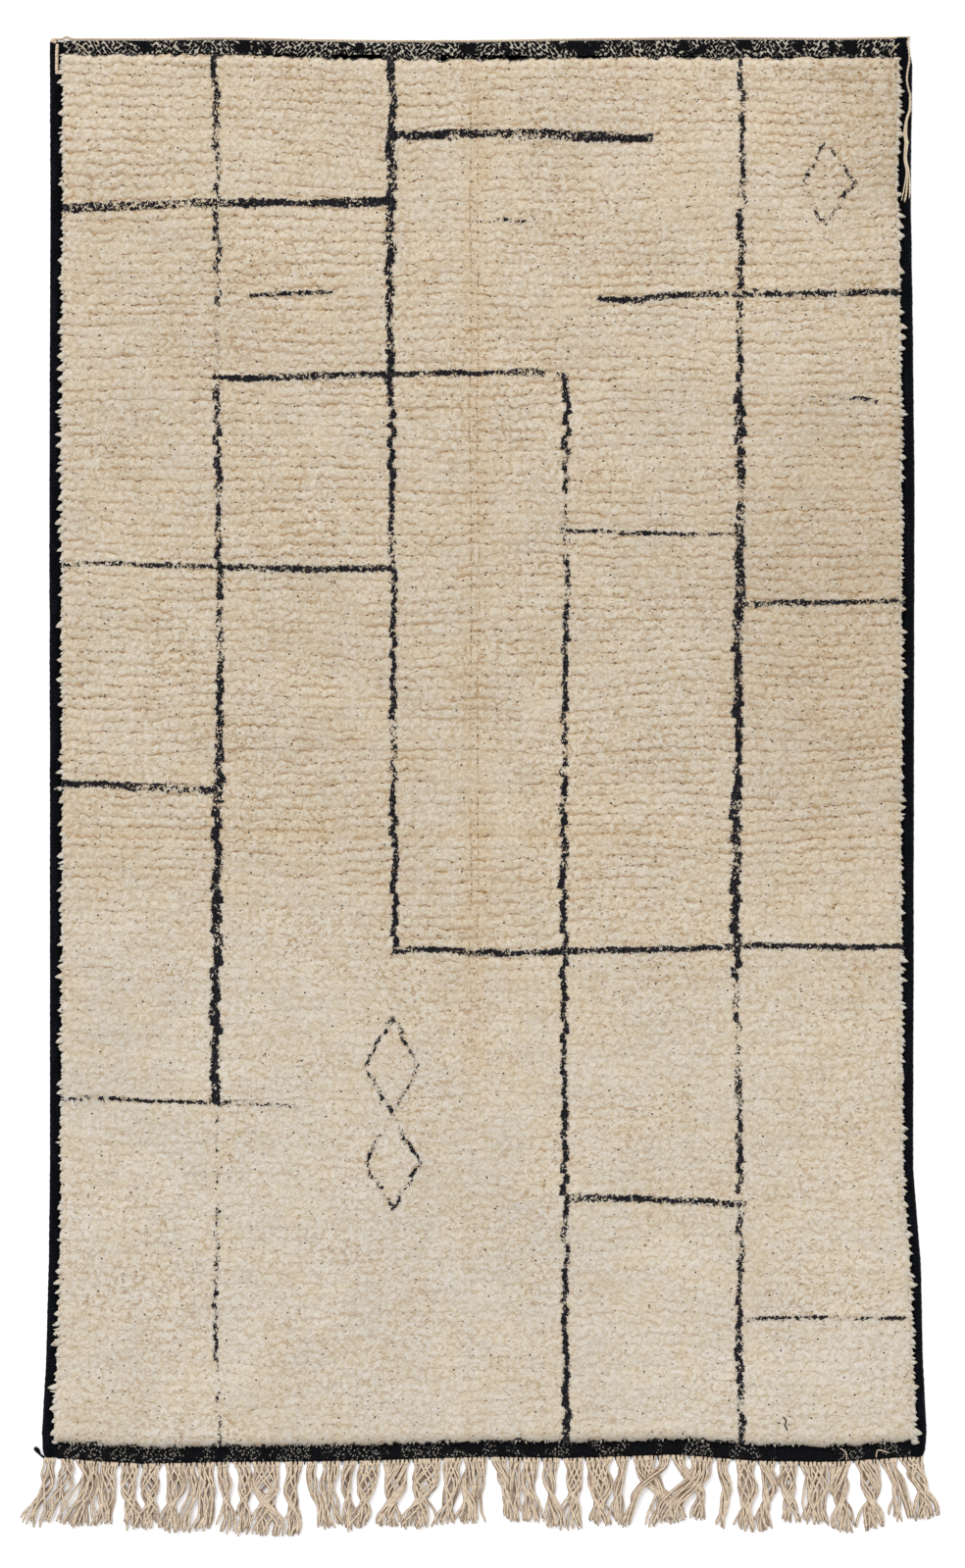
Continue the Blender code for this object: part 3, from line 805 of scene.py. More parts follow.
@dataclass(frozen=True)
class KnottedWool:
    """Hand-spun sheep's wool, undyed cream with knots of dark wool, cut as a pile.

    The eye sees a matt, mottled cream, with broken lines of painted tan shade where the rows
    part, short bent strokes of painted shade where the yarn lies in shade, painted light on the
    yarns' ends, ragged dark knots with cream tips between them, and a few black and brown hairs.
    """

    shade: str = "#95692E"
    deep_shade: str = "#4A2F14"
    dark: str = "#0F0E11"
    dark_tip: str = "#37343A"
    grey: str = "#847C73"
    # Tints for the wool's darker and lighter parts: random tone, with painted shade between the
    # yarns' ends and curls and painted light on their middles
    low: Tint = (0.89, 0.845, 0.765, 1.0)
    calm_low: Tint = (0.935, 0.905, 0.835, 1.0)
    high: Tint = (1.05, 1.07, 1.13, 1.0)
    warm: Tint = (1.0, 0.955, 0.86, 1.0)
    tuft: float = 0.0066
    curl: float = 0.0125
    row_pitch: float = 0.0192
    speck: str = "#241D19"

    def material(self) -> Material:
        """Build the shader.

        Returns:
            A material that reads the pile's own values and Object coordinates.
        """
        s = Shader("knotted_cream_wool")
        leans = [s.grain(0.0023, 2.0, 0.35, (1.0, 0.34, 1.0), turn) for turn in (24.0, -24.0)]
        fibre = s.choose(leans[0], leans[1], s.ramp(s.grain(0.016, 1.0), 0.44, 0.56))
        crown, chance = self.tufts(s)
        inputs = {"Vector": s.bent((1.0, 1.1, 1.0), 0.018, 0.026), "Scale": 1 / self.curl}
        kind = {"voronoi_dimensions": "2D", "feature": "DISTANCE_TO_EDGE"}
        curl = s.node("TexVoronoi", inputs, **kind).outputs["Distance"]
        wool = self.cream(s, fibre, crown, chance, curl)
        wool = self.shaded(s, wool, fibre, curl)
        wool = self.knots(s, wool, fibre)
        wool = self.hairs(s, wool)
        lumps = s.times(curl, s.ramp(s.value("calm"), 0.0, 1.0, (0.9, 0.5)))
        height = s.plus(s.plus(s.plus(s.times(fibre, 0.9), crown, 0.65), chance, 0.2), lumps)
        surface = {"Roughness": 0.95, "Specular IOR Level": 0.12}
        surface |= {"Sheen Weight": 0.1, "Sheen Roughness": 0.5}
        return s.finish(wool, height, 0.0016, 0.6, surface)

    def tufts(self, s: Shader) -> tuple[Socket, Socket]:
        """The cut ends of the knots' yarns, as bent cells of 5 to 8 mm.

        Args:
            s: The shader.

        Returns:
            How near each point is to its end's middle, and a random number for each end.
        """
        inputs = {"Vector": s.bent((1.0, 0.8, 1.0), 0.011, 0.013), "Scale": 1 / self.tuft}
        cell = s.node("TexVoronoi", inputs, voronoi_dimensions="2D").outputs
        crown = s.ramp(cell["Distance"], 0.75, 0.05)
        return crown, s.node("SeparateColor", {0: cell["Color"]}).outputs[0]

    def cream(
        self, s: Shader, fibre: Socket, crown: Socket, chance: Socket, curl: Socket
    ) -> Socket:
        """The undyed wool's colour: its tone, with painted light on the yarns' ends, painted tan
        shade between them and painted shade low in the rows.

        Args:
            s: The shader.
            fibre: Fine noise.
            crown: How near each point is to its yarn end's middle.
            chance: A random number for each end.
            curl: How far each point is from where curls meet.

        Returns:
            The colour.
        """
        tone = s.node("Attribute", {}, attribute_name="tone").outputs["Color"]
        # Painted light on each yarn end's middle, mixed with random tone
        mixed = s.plus(s.plus(fibre, chance, 0.25), crown, 0.45)
        mixed = s.plus(mixed, s.grain(0.015), 0.2)
        mixed = s.plus(mixed, s.grain(0.0068, 1.0, 0.8, (0.8, 1.0, 1.0)), 1.4)
        calm = s.value("calm")
        # Painted light inside each curl and painted shade where curls meet
        mixed = s.plus(mixed, s.ramp(curl, 0.0, 0.4, (-0.13, 0.13)))
        mixed = s.plus(mixed, s.times(s.plus(s.grain(0.015), -0.5), calm), 0.8)
        low = s.mix(self.low, self.calm_low, calm)
        tint = s.mix(low, self.high, s.ramp(mixed, 1.12, 2.04))
        # Painted shade in the furrows between rows, near the rim and towards the locks' roots
        tint = s.scaled(tint, s.ramp(s.value("lift"), 0.0, 1.0, (0.965, 1.0)))
        warmth = s.ramp(s.grain(0.07, 3.0, 0.6), 0.4, 0.64, (0.0, 0.55))
        for tinted in (tint, s.mix((1.0, 1.0, 1.0, 1.0), self.warm, warmth)):
            inputs = {0: tone, 1: tinted}
            tone = s.node("VectorMath", inputs, operation="MULTIPLY").outputs["Vector"]
        return tone

    def shaded(self, s: Shader, wool: Socket, fibre: Socket, curl: Socket) -> Socket:
        """The wool with tan where it lies in shade.

        Rows meet in a line of 3 mm of painted shade where the row count, less a share that hangs in
        lobes from cusps, is whole. Noise breaks it, it is faint on the calm wool, and a haze of
        painted shade stands over it. Elsewhere the painted shade is short strokes of 2 mm along the
        middle of a smooth noise and between curls, cut by another. Spots of deeper painted shade
        lie on the lines, and bead the two lines that run down the parting.

        Args:
            s: The shader.
            wool: The wool's colour.
            fibre: Fine noise.
            curl: How far each point is from where curls meet.

        Returns:
            The colour.
        """
        clear, calm = s.value("clear"), s.value("calm")
        lobes = s.math("ABSOLUTE", s.plus(s.grain(0.02, 1.0, 0.3, (1.0, 0.5, 1.0)), -0.5))
        hung = s.times(lobes, s.ramp(calm, 0.0, 1.0, (1.1, 2.2)))
        count = s.plus(s.plus(s.value("rows"), hung), s.plus(fibre, -0.5), 0.08)
        away = s.times(s.math("PINGPONG", count, 0.5), self.row_pitch * 1000)
        over = s.times(s.math("FRACT", count), self.row_pitch * 1000)
        patchy = s.grain(0.0135, 2.0, 0.3, (0.7, 1.0, 1.0))
        wide = s.times(s.ramp(patchy, 0.43, 0.6), s.ramp(clear, 0.0, 0.7, (0.0, 2.0)))
        line = s.ramp(s.plus(wide, away, -1.0), -1.2, 1.2)
        # Painted shade: a tan haze over each row line
        haze = s.times(s.ramp(over, 9.0, 0.0), s.ramp(s.grain(0.03, 2.0), 0.36, 0.58))
        haze = s.times(haze, s.times(clear, 0.56))
        faint = s.times(s.ramp(away, 2.4, 0.5), s.ramp(s.grain(0.016, 2.0), 0.42, 0.54))
        faint = s.times(faint, s.times(calm, 0.4))

        ridge = s.math("ABSOLUTE", s.plus(s.grain(0.0125, 1.0, 0.9, (0.65, 1.0, 1.0)), -0.5))
        stroke = s.times(s.ramp(ridge, 0.055, 0.016), s.value("matted"))
        between = s.times(s.ramp(curl, 0.15, 0.02), s.ramp(calm, 0.0, 1.0, (0.4, 0.42)))
        stroke = s.math("MAXIMUM", stroke, between)
        stroke = s.times(stroke, s.ramp(s.grain(0.01, 1.0), 0.45, 0.55))

        track = 0.0
        for middle in (-8.0, 5.5):
            off = s.math("ABSOLUTE", s.plus(s.plus(s.value("parting"), -middle), fibre, 2.0))
            track = s.math("MAXIMUM", track, s.ramp(off, 2.4, 0.9))
        track = s.times(track, s.value("crease"))
        seam = s.times(track, s.ramp(s.grain(0.01, 1.0, 0.0, (1.0, 0.7, 1.0)), 0.5, 0.57))
        most = s.math("MAXIMUM", s.times(line, 0.64), s.times(stroke, 0.6))
        most = s.math("MAXIMUM", most, s.math("MAXIMUM", haze, s.times(seam, 0.5)))
        most = s.math("MAXIMUM", most, faint)
        wool = s.mix(wool, self.shade, most)

        on_line = s.times(s.ramp(away, 3.6, 1.4), s.ramp(clear, 0.1, 0.7))
        dots = s.times(s.spots(0.01, 0.22, 0.52, (0.7, 1.4, 1.0)), on_line)
        beads = s.times(s.spots(0.008, 0.28, 0.6, (1.0, 1.2, 1.0)), track)
        stray = s.times(s.spots(0.0165, 0.12, 0.22, (0.8, 1.2, 1.0)), 0.8)
        spots = s.math("MAXIMUM", dots, s.math("MAXIMUM", beads, stray))
        return s.mix(wool, self.deep_shade, s.times(spots, 0.9))

    def knots(self, s: Shader, wool: Socket, fibre: Socket) -> Socket:
        """The wool with its dark lines: ragged at the edge, greyed beside it, flecked within.

        Args:
            s: The shader.
            wool: The wool's colour.
            fibre: Fine noise.

        Returns:
            The colour.
        """
        depth = s.times(s.value("line_depth"), 1000.0)
        solid = s.value("line_solid")
        ragged = s.plus(depth, s.plus(s.grain(0.0095, 2.0, 0.7, (1.0, 0.85, 1.0)), -0.5), 13.0)
        ragged = s.plus(ragged, s.plus(s.grain(0.0033, 1.0, 0.3), -0.5), 8.0)
        near = s.times(s.ramp(depth, -5.5, 2.0), s.ramp(solid, 0.1, 0.9))
        wool = s.mix(wool, self.grey, s.times(near, 0.3))
        flecks = s.grain(0.0052, 1.5, 1.0, (1.0, 0.8, 1.0))
        held = s.ramp(s.plus(flecks, solid, 0.42), 0.67, 0.735)
        knot = s.mix(self.dark, self.dark_tip, s.ramp(fibre, 0.45, 0.75))
        return s.mix(wool, knot, s.times(s.ramp(ragged, -0.6, 0.8), held))

    def hairs(self, s: Shader, wool: Socket) -> Socket:
        """The wool with clumps of black hair of 3 mm, about 100 a square metre."""
        return s.mix(wool, self.speck, s.spots(0.07, 0.03, 0.5, (1.0, 1.0, 1.0)))


@dataclass(frozen=True)
class TwistedYarn:
    """Yarn of a few plies twisted together, such as cotton warp ends or cream edging cord.

    The eye sees a soft matt thread, with slanting lines of painted shade where its plies
    meet and painted brown shade down its flanks and where it lies deep under others.
    """

    name: str
    colour: str
    crease: str
    twist: float = 0.35
    flank: float = 0.92
    plies: int = 2
    pitch: float = 0.013

    def material(self) -> Material:
        """Build the shader.

        Returns:
            A material that reads the tube's UV map, u round it and v along it in metres, for the
            twist, Object coordinates for the fibre, and the yarn's own depth.
        """
        s = Shader(self.name)
        # the twist's phase: plies times u, plus plies times v by the pitch
        along = s.times(s.uv["Y"], self.plies / self.pitch)
        wave = s.math("PINGPONG", s.plus(along, s.uv["X"], float(self.plies)), 1.0)
        fibre = s.grain(0.002, 3.0)
        patches = s.grain(0.022, 2.0)
        light = s.ramp(s.plus(patches, fibre, 0.6), 0.5, 1.1, (0.9, 1.06))
        # Painted shade in the slanting lines where the plies meet
        tone = s.mix(self.colour, self.crease, s.ramp(wave, 0.3, 0.0, (0.0, self.twist)))
        # Painted shade down the flanks, by how little they face up, and on yarns deep under others
        flank = s.ramp(s.up, 0.86, 0.22, (0.0, self.flank))
        shade = s.math("MAXIMUM", flank, s.ramp(s.value("deep"), 0.25, 1.0, (0.0, 0.72)))
        tone = s.mix(tone, self.crease, shade)
        surface = {"Roughness": 0.9, "Sheen Weight": 0.08, "Specular IOR Level": 0.2}
        return s.finish(s.scaled(tone, light), s.plus(wave, fibre, 0.3), 0.0008, 0.5, surface)


@dataclass(frozen=True)
class OvercastWool:
    """Near-black wool wound over the side cords, blue-black in worn streaks and with a painted
    highlight on its yarns' crowns.

    The eye sees a dark matt cord with fine slanting yarns, slightly lighter in worn streaks and
    with a painted highlight on their crowns.
    """

    colour: str = "#040508"
    # worn: the colour of worn streaks and of the painted highlight on the yarns' crowns
    worn: str = "#11141C"
    yarn: float = 0.0035

    def material(self) -> Material:
        """Build the shader.

        Returns:
            A material whose yarns run across the UV map's v, in metres along the cord.
        """
        s = Shader("overcast_black_wool")
        fibre = s.grain(0.0026, 3.0)
        slant = s.plus(s.times(s.uv["Y"], 1 / self.yarn), s.uv["X"], 2.2)
        wave = s.math("PINGPONG", s.plus(slant, fibre, 1.4), 1.0)
        streaks = s.grain(0.012, 3.0, 0.3, (1.0, 0.35, 1.0))
        # Painted highlight on each yarn's crown, with worn streaks
        lit = s.ramp(s.plus(streaks, wave, 0.3), 0.5, 0.95, (0.0, 0.85))
        wool = s.mix(self.colour, self.worn, lit)
        surface = {"Roughness": 0.9, "Sheen Weight": 0.03, "Specular IOR Level": 0.06}
        return s.finish(wool, s.plus(wave, fibre, 0.5), 0.0012, 0.6, surface)


@dataclass(frozen=True)
class TwinedBand:
    """Dark wool twined in beads over a cream warp.

    The eye sees black beads of 4 mm in slanting rows that lean one way and then the other. In
    patches cream shows round the beads, or as a point in each, and between them all is black.
    The patches may fade to the right.
    """

    name: str
    fleck: str
    around: bool
    patch_from: float
    fading: float = 0.0
    colour: str = "#060608"
    lit: str = "#1D1E23"
    bead: float = 0.005

    def material(self) -> Material:
        """Build the shader.

        Returns:
            A material on Object coordinates: cells turned 38 degrees either way by patches.
        """
        s = Shader(self.name)
        fibre = s.grain(0.0024, 3.0)
        leans = [s.cells(self.bead, (1.2, 0.62, 1.0), turn, 0.75) for turn in (38.0, -38.0)]
        bead = s.choose(leans[0], leans[1], s.ramp(s.grain(0.055, 1.0), 0.49, 0.51))
        across = s.node("SeparateXYZ", {0: s.place}).outputs["X"]
        patches = s.grain(0.03, 2.0, 0.5, (1.0, 0.7, 1.0))
        patches = s.plus(patches, s.ramp(across, -0.3, 0.6), -self.fading)
        show = s.ramp(patches, self.patch_from, self.patch_from + 0.07)
        gap = s.ramp(bead, 0.46, 0.6) if self.around else s.ramp(bead, 0.28, 0.15)
        fleck = s.times(s.times(gap, show), s.ramp(fibre, 0.3, 0.48))
        wool = s.mix(self.colour, self.lit, s.ramp(fibre, 0.4, 0.75, (0.0, 0.8)))
        wool = s.mix(wool, self.fleck, fleck)
        surface = {"Roughness": 0.92, "Sheen Weight": 0.03, "Specular IOR Level": 0.08}
        return s.finish(wool, s.plus(s.times(bead, -1.2), fibre, 0.4), 0.0014, 0.6, surface)


@dataclass(frozen=True)
class WovenGround:
    """The back of the rug: cream wool wefts beaten down between rows of knots.

    The eye sees ribbed cream cloth, with the backs of the knots as small pale beads and painted
    shade in the hollows between them.
    """

    colour: str = "#C9B595"
    shade: str = "#8F7752"
    rib: float = 0.0062

    def material(self) -> Material:
        """Build the shader.

        Returns:
            A material on Object coordinates, ribbed across the rug with beads along each rib.
        """
        s = Shader("woven_ground_wool")
        parts = s.node("SeparateXYZ", {0: s.place}).outputs
        waves = [
            s.math("PINGPONG", s.times(parts[axis], 1 / size), 1.0)
            for axis, size in (("Y", self.rib), ("X", self.rib * 1.15))
        ]
        fibre = s.grain(0.0033, 3.0)
        height = s.plus(s.times(waves[0], waves[1]), fibre, 0.5)
        # Painted shade in the hollows between ribs and beads
        wool = s.mix(self.shade, self.colour, s.ramp(height, 0.15, 0.95))
        surface = {"Roughness": 0.95, "Specular IOR Level": 0.15}
        return s.finish(wool, height, 0.001, 0.6, surface)


# --- The rug ---


@dataclass(frozen=True)
class WoolTones:
    """The cream wool's tones over the rug: fleeces of the year, wear and a little dirt, and
    painted shade in the parting and the old fold.
    """

    top: str = "#D3C7B3"
    middle: str = "#CEC3B0"
    bottom: str = "#CFC6B7"
    dull: str = "#C4B7A2"
    lock: str = "#CAC6BD"
    # parting: the colour of the painted shade in the parting and along the old fold
    parting: str = "#C6AC82"
    parting_x: float = -0.01
    fold_y: float = -0.15

    def at(self, x: Array, y: Array) -> Array:
        """The wool's linear colour at each point of the plan.

        The top's tone gives way to the middle's and then the bottom's down the rug. A dull
        patch lies right of the middle, the parting and the old fold take painted tan shade, and
        broad noise varies the whole.

        Args:
            x: In the rug's plan.
            y: The same.

        Returns:
            Points' shape and three more for the colour.
        """
        drift = 0.12 * noise(x / 0.35, y / 0.45, 20)
        upper = smoothstep(0.25, 1.15, y + drift)
        lower = smoothstep(-0.22, -0.92, y + 2 * drift + 0.15 * x)
        away = np.hypot((x - 0.64) / 0.28, (y - 0.26) / 0.48)
        away = np.minimum(away, 0.25 + np.hypot((x - 0.74) / 0.28, (y - 1.12) / 0.55))
        dull = 0.8 * smoothstep(1.1, 0.3, away + 0.4 * drift)
        # Painted shade in the parting's crease and along the old fold
        crease = 0.32 * smoothstep(0.036, 0.008, np.abs(x - self.parting_x))
        crease = crease * smoothstep(-0.85, -0.3, y)
        crease = crease * (0.8 + 0.4 * noise(x / 0.03, y / 0.12, 21))
        crease = crease + 0.22 * smoothstep(0.014, 0.004, np.abs(y - self.fold_y))
        tone = np.array(linear(self.middle)) * np.ones((*np.shape(x), 1))
        colours = (self.top, self.bottom, self.dull, self.parting)
        for colour, amount in zip(colours, (upper, lower, dull, crease)):
            tone = tone + amount[..., None] * (np.array(linear(colour)) - tone)
        mottle = 1 + 0.035 * noise(x / 0.16, y / 0.1, 22) + 0.035 * noise(x / 0.05, y / 0.03, 23)
        return tone * mottle[..., None]


@dataclass
class Pile:
    """The knotted pile: rows that lean to the fringe, each dropping to a line under its lip."""

    outline: Outline
    pattern: LinePattern
    tones: WoolTones
    material: Material
    rows: int = 128
    row_lines: tuple[float, ...] = (0.0, 0.09, 0.22, 0.5, 0.86)
    row_profile: tuple[float, ...] = (0.0, 0.6, 1.0, 0.97, 0.72)
    columns: int = 440
    strips: int = 4
    floor: float = 0.0043
    crest: float = 0.0202
    rim_top: float = 0.0125
    rim_width: float = 0.02
    row_depth: float = 0.001
    side_out: float = 0.02
    side_in: float = 0.0248
    end_out: float = 0.0275
    end_in: float = 0.033
    bare: tuple = ((-0.6, -0.38, -0.11, 0.55), (0.0, 0.0042, 0.0068, 0.0082))
    groove_x: float = 0.7235
    groove_end: float = 1.135

    def row_y(self, across: Array, rho: Array) -> Array:
        """The y of the pile's grid.

        Rows are shares of the way from the bottom band to the top one. Two long waves and the
        wandering lips of the rows move them: a lip's noise holds over its own line and blends
        to the next row's above.

        Args:
            across: Share of the width.
            rho: Rows counted from the bottom.

        Returns:
            The y in the plan.
        """
        x = (2 * across - 1) * self.outline.half_width
        jag = (self.end_in - self.end_out) / 2 * noise(x / 0.008, rho * 0, 31)
        inset = (self.end_in + self.end_out) / 2 + jag
        low = self.outline.end_edge(x, End.BOTTOM, inset)
        high = self.outline.end_edge(x, End.TOP, inset + np.interp(x, *self.bare))
        y = low + (high - low) * rho / self.rows
        calm = np.clip(np.minimum(rho, self.rows - rho) / 3, 0, 1)
        wave = np.sin(11 * across + 0.26 * rho) + 0.6 * np.sin(23 * across - 0.14 * rho)
        row = np.floor(rho)
        share = rho - row
        wander = (1 - share) * self.lip(x, row) + share * self.lip(x, row + 1)
        return y + calm * (0.004 * wave + wander)

    def lip(self, x: Array, row: Array) -> Array:
        """How far a row's lip strays from straight: noise of 60, 25 and 10 mm lumps.

        Args:
            x: In the rug's plan.
            row: Whole rows from the bottom.

        Returns:
            What to add to its y.
        """
        long = 0.0028 * noise(x / 0.06, row * 0.7, 32)
        middling = 0.0019 * noise(x / 0.025, row + 0.5, 33)
        return long + middling + 0.0034 * noise(x / 0.0092, row + 0.5, 34)

    def rim_inset(self, y: Array, side: Side) -> Array:
        """How far in from a side's outer edge the pile's rim lies, less near the fringe.

        Args:
            y: In the rug's plan.
            side: Which side.

        Returns:
            The inset at each y.
        """
        nearer = 0.0034 if side is Side.RIGHT else 0.0016
        wavy = 0.0012 * noise(y / 0.06, side.value * 0.5, 103)
        return self.side_in - nearer * smoothstep(-0.15, -0.8, y) + wavy

    def surface(self) -> tuple[Array, Values]:
        """The pile's upper surface and what its shader reads.

        Height is the crest, less a furrow between rows whose profile climbs fast from a row's
        lip and falls slowly to the next, plus lumps, and rounds down to the rim.

        Returns:
            (lines, columns, 3) points and the named values.
        """
        rho = np.arange(self.rows)[:, None] + np.array(self.row_lines)
        rho = np.append(rho.ravel(), self.rows)[:, None]
        across = np.linspace(0, 1, self.columns + 1)[None, :]
        y = self.row_y(across, rho)
        row = np.minimum(np.floor(rho), self.rows - 1)
        share = rho - row

        tooth = np.interp(share, (0, 0.15, 0.35, 1), (0, 0.7, 1, 0))
        edges = []
        for side in Side:
            juts = tooth * (0.6 + 0.4 * scatter(row, side.value + 3, 35))
            inset = self.rim_inset(y, side) - (self.side_in - self.side_out) * juts
            edges.append(self.outline.side_edge(y, side) - side.value * inset)
        x = edges[0] + across * (edges[1] - edges[0])

        shape = (*self.row_profile, self.row_profile[0])
        rise = np.interp(share, (*self.row_lines, 1.0), shape)
        drift = 0.09 * noise(x / 0.4, y / 0.4, 36)
        calmer = smoothstep(-0.02, -0.24, y / self.outline.length + drift)
        clear = 0.56 + 0.66 * noise(x / 0.055, row * 3 + 0.5, 37)
        clear = clear + 0.45 * noise(x / 0.018, row * 3 + 0.5, 38)
        clear = clear + 0.22 * noise(x / 0.3, y / 0.2, 39)
        clear = np.clip(clear * (1 - 0.6 * calmer) - 0.25 * calmer, 0.0, 1.0)
        furrow = self.row_depth * (0.3 + 0.7 * clear) * (1 - 0.85 * calmer)
        lumps = 0.001 * noise(x / 0.15, y / 0.11, 40) + 0.0006 * noise(x / 0.05, y / 0.04, 41)
        knots = 0.0007 * noise(x / 0.0095, row + 0.5, 42) * rise
        fuzz = 0.0006 * noise(x / 0.0052, y / 0.0052, 43)
        z = self.crest - furrow * (1 - rise) + lumps + knots + fuzz
        aside = x - self.tones.parting_x - 0.003 * noise(y / 0.12, 0.5, 44)
        z = z - 0.001 * smoothstep(0.018, 0.0, np.abs(aside))
        z = z - 0.0012 * smoothstep(0.016, 0.0, np.abs(y - self.tones.fold_y))
        worn = smoothstep(0.006, 0.0, np.abs(x - self.groove_x - 0.002 * noise(y / 0.02, 0.5, 48)))
        worn = worn * smoothstep(self.groove_end, self.groove_end + 0.02, y)
        z = z - 0.003 * worn

        side_way = np.minimum(across, 1 - across) * 2 * self.outline.half_width
        end_way = np.minimum(rho, self.rows - rho) * self.outline.length / self.rows
        away = np.clip(np.minimum(side_way, end_way) / self.rim_width, 0, 1)
        round_off = np.sqrt(1 - (1 - away) ** 2)
        z = self.rim_top + (z - self.rim_top) * round_off

        values = {
            "rows": np.where(worn > 0.3, np.round(rho), rho) * np.ones_like(x),
            "clear": np.maximum(clear, worn),
            # lift: how high in its row a point lies, which the wool's shader turns into painted
            # shade where low
            "lift": np.clip(rise * 0.8 + 0.2 * away, 0, 1) * np.ones_like(x),
            "matted": np.clip(0.68 - 0.1 * calmer + 0.5 * noise(x / 0.11, y / 0.08, 45), 0, 1),
            "calm": calmer,
            "parting": np.clip(aside * 1000, -60, 60),
            "crease": smoothstep(-0.8, -0.2, y + 0.1 * noise(y / 0.1, 0.5, 50)),
        }
        values |= self.dye_and_shade(x, y, row, share)
        teeth = 0.0012 + 0.0035 * noise(x / 0.012, row * 0, 49) - end_way
        values["line_depth"] = np.maximum(values["line_depth"], teeth)
        values["line_solid"] = np.where(teeth > -0.012, 0.85, values["line_solid"])
        return xyz(x, y, z), values

    def dye_and_shade(self, x: Array, y: Array, row: Array, share: Array) -> Values:
        """The wool's tone and the dark pattern's values, jogged from row to row.

        The tone has painted shade over the last 17 mm before the bottom band, where the pile bends
        down.

        Args:
            x: In the rug's plan.
            y: The same.
            row: Whole rows from the bottom.
            share: Share of the way up the row.

        Returns:
            Named values that the wool's shader reads.
        """
        jog = 0.0036 * scatter(row, 7 * np.ones_like(row), 46)
        depth, solid = self.pattern.at(x + jog, y)
        splay = 0.0012 * np.interp(share, (0, 0.3, 1), (1.0, 0.4, -1.0))
        streak = 0.25 * scatter(row, np.floor(x / 0.3), 47)
        low = y - self.outline.end_edge(x, End.BOTTOM)
        # Painted shade on the pile where it bends down to the bottom band
        bent = 1 - 0.36 * smoothstep(0.0475, 0.03, low)[..., None]
        return {
            "tone": self.tones.at(x, y) * bent,
            "line_depth": depth + splay,
            "line_solid": np.clip(solid + streak, 0, 1),
        }

    def build(self) -> list[Piece]:
        """Make the pile as closed strips that meet along rows.

        Returns:
            The strips, from the bottom up.
        """
        points, values = self.surface()
        lines = (len(points) - 1) // self.strips
        made = []
        for k in range(self.strips):
            part = slice(k * lines, (k + 1) * lines + 1)
            mesh = PieceMesh(f"pile_wool_{k + 1}")
            top = points[part]
            own = {name: value[part] for name, value in values.items()}
            mesh.add_grid(top, own)
            self.close_under(mesh, top, own)
            piece = mesh.make(self.material, self.outline.shift)
            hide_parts("pile")
            made.append(piece)
        return made

    def close_under(self, mesh: PieceMesh, top: Array, values: Values) -> None:
        """Add the walls under a strip's rim and its flat underside.

        The underside is a ladder: each line's two ends are joined straight across, and the
        first and last lines are one face each with all their points.

        Args:
            mesh: The strip, which so far has only its upper surface.
            top: Its points, (lines, columns, 3).
            values: Their named values.
        """
        lines, columns, _ = top.shape
        ring = mesh.drop_rim(top, values, self.floor)
        turns = columns - 1 + np.array([0, lines - 1, columns + lines - 2])
        right = ring[turns[0] : turns[1] + 1]
        left = np.append(ring[0], ring[:-lines:-1])
        mesh.add_faces(np.stack([left[1:-2], left[2:-1], right[2:-1], right[1:-2]], axis=1))
        first_line, last_line = ring[: turns[0] + 1][::-1], ring[turns[1] : turns[2] + 1][::-1]
        mesh.add_faces(np.append([left[1], right[1]], first_line)[None, :])
        mesh.add_faces(np.append([right[-2], left[-2]], last_line)[None, :])


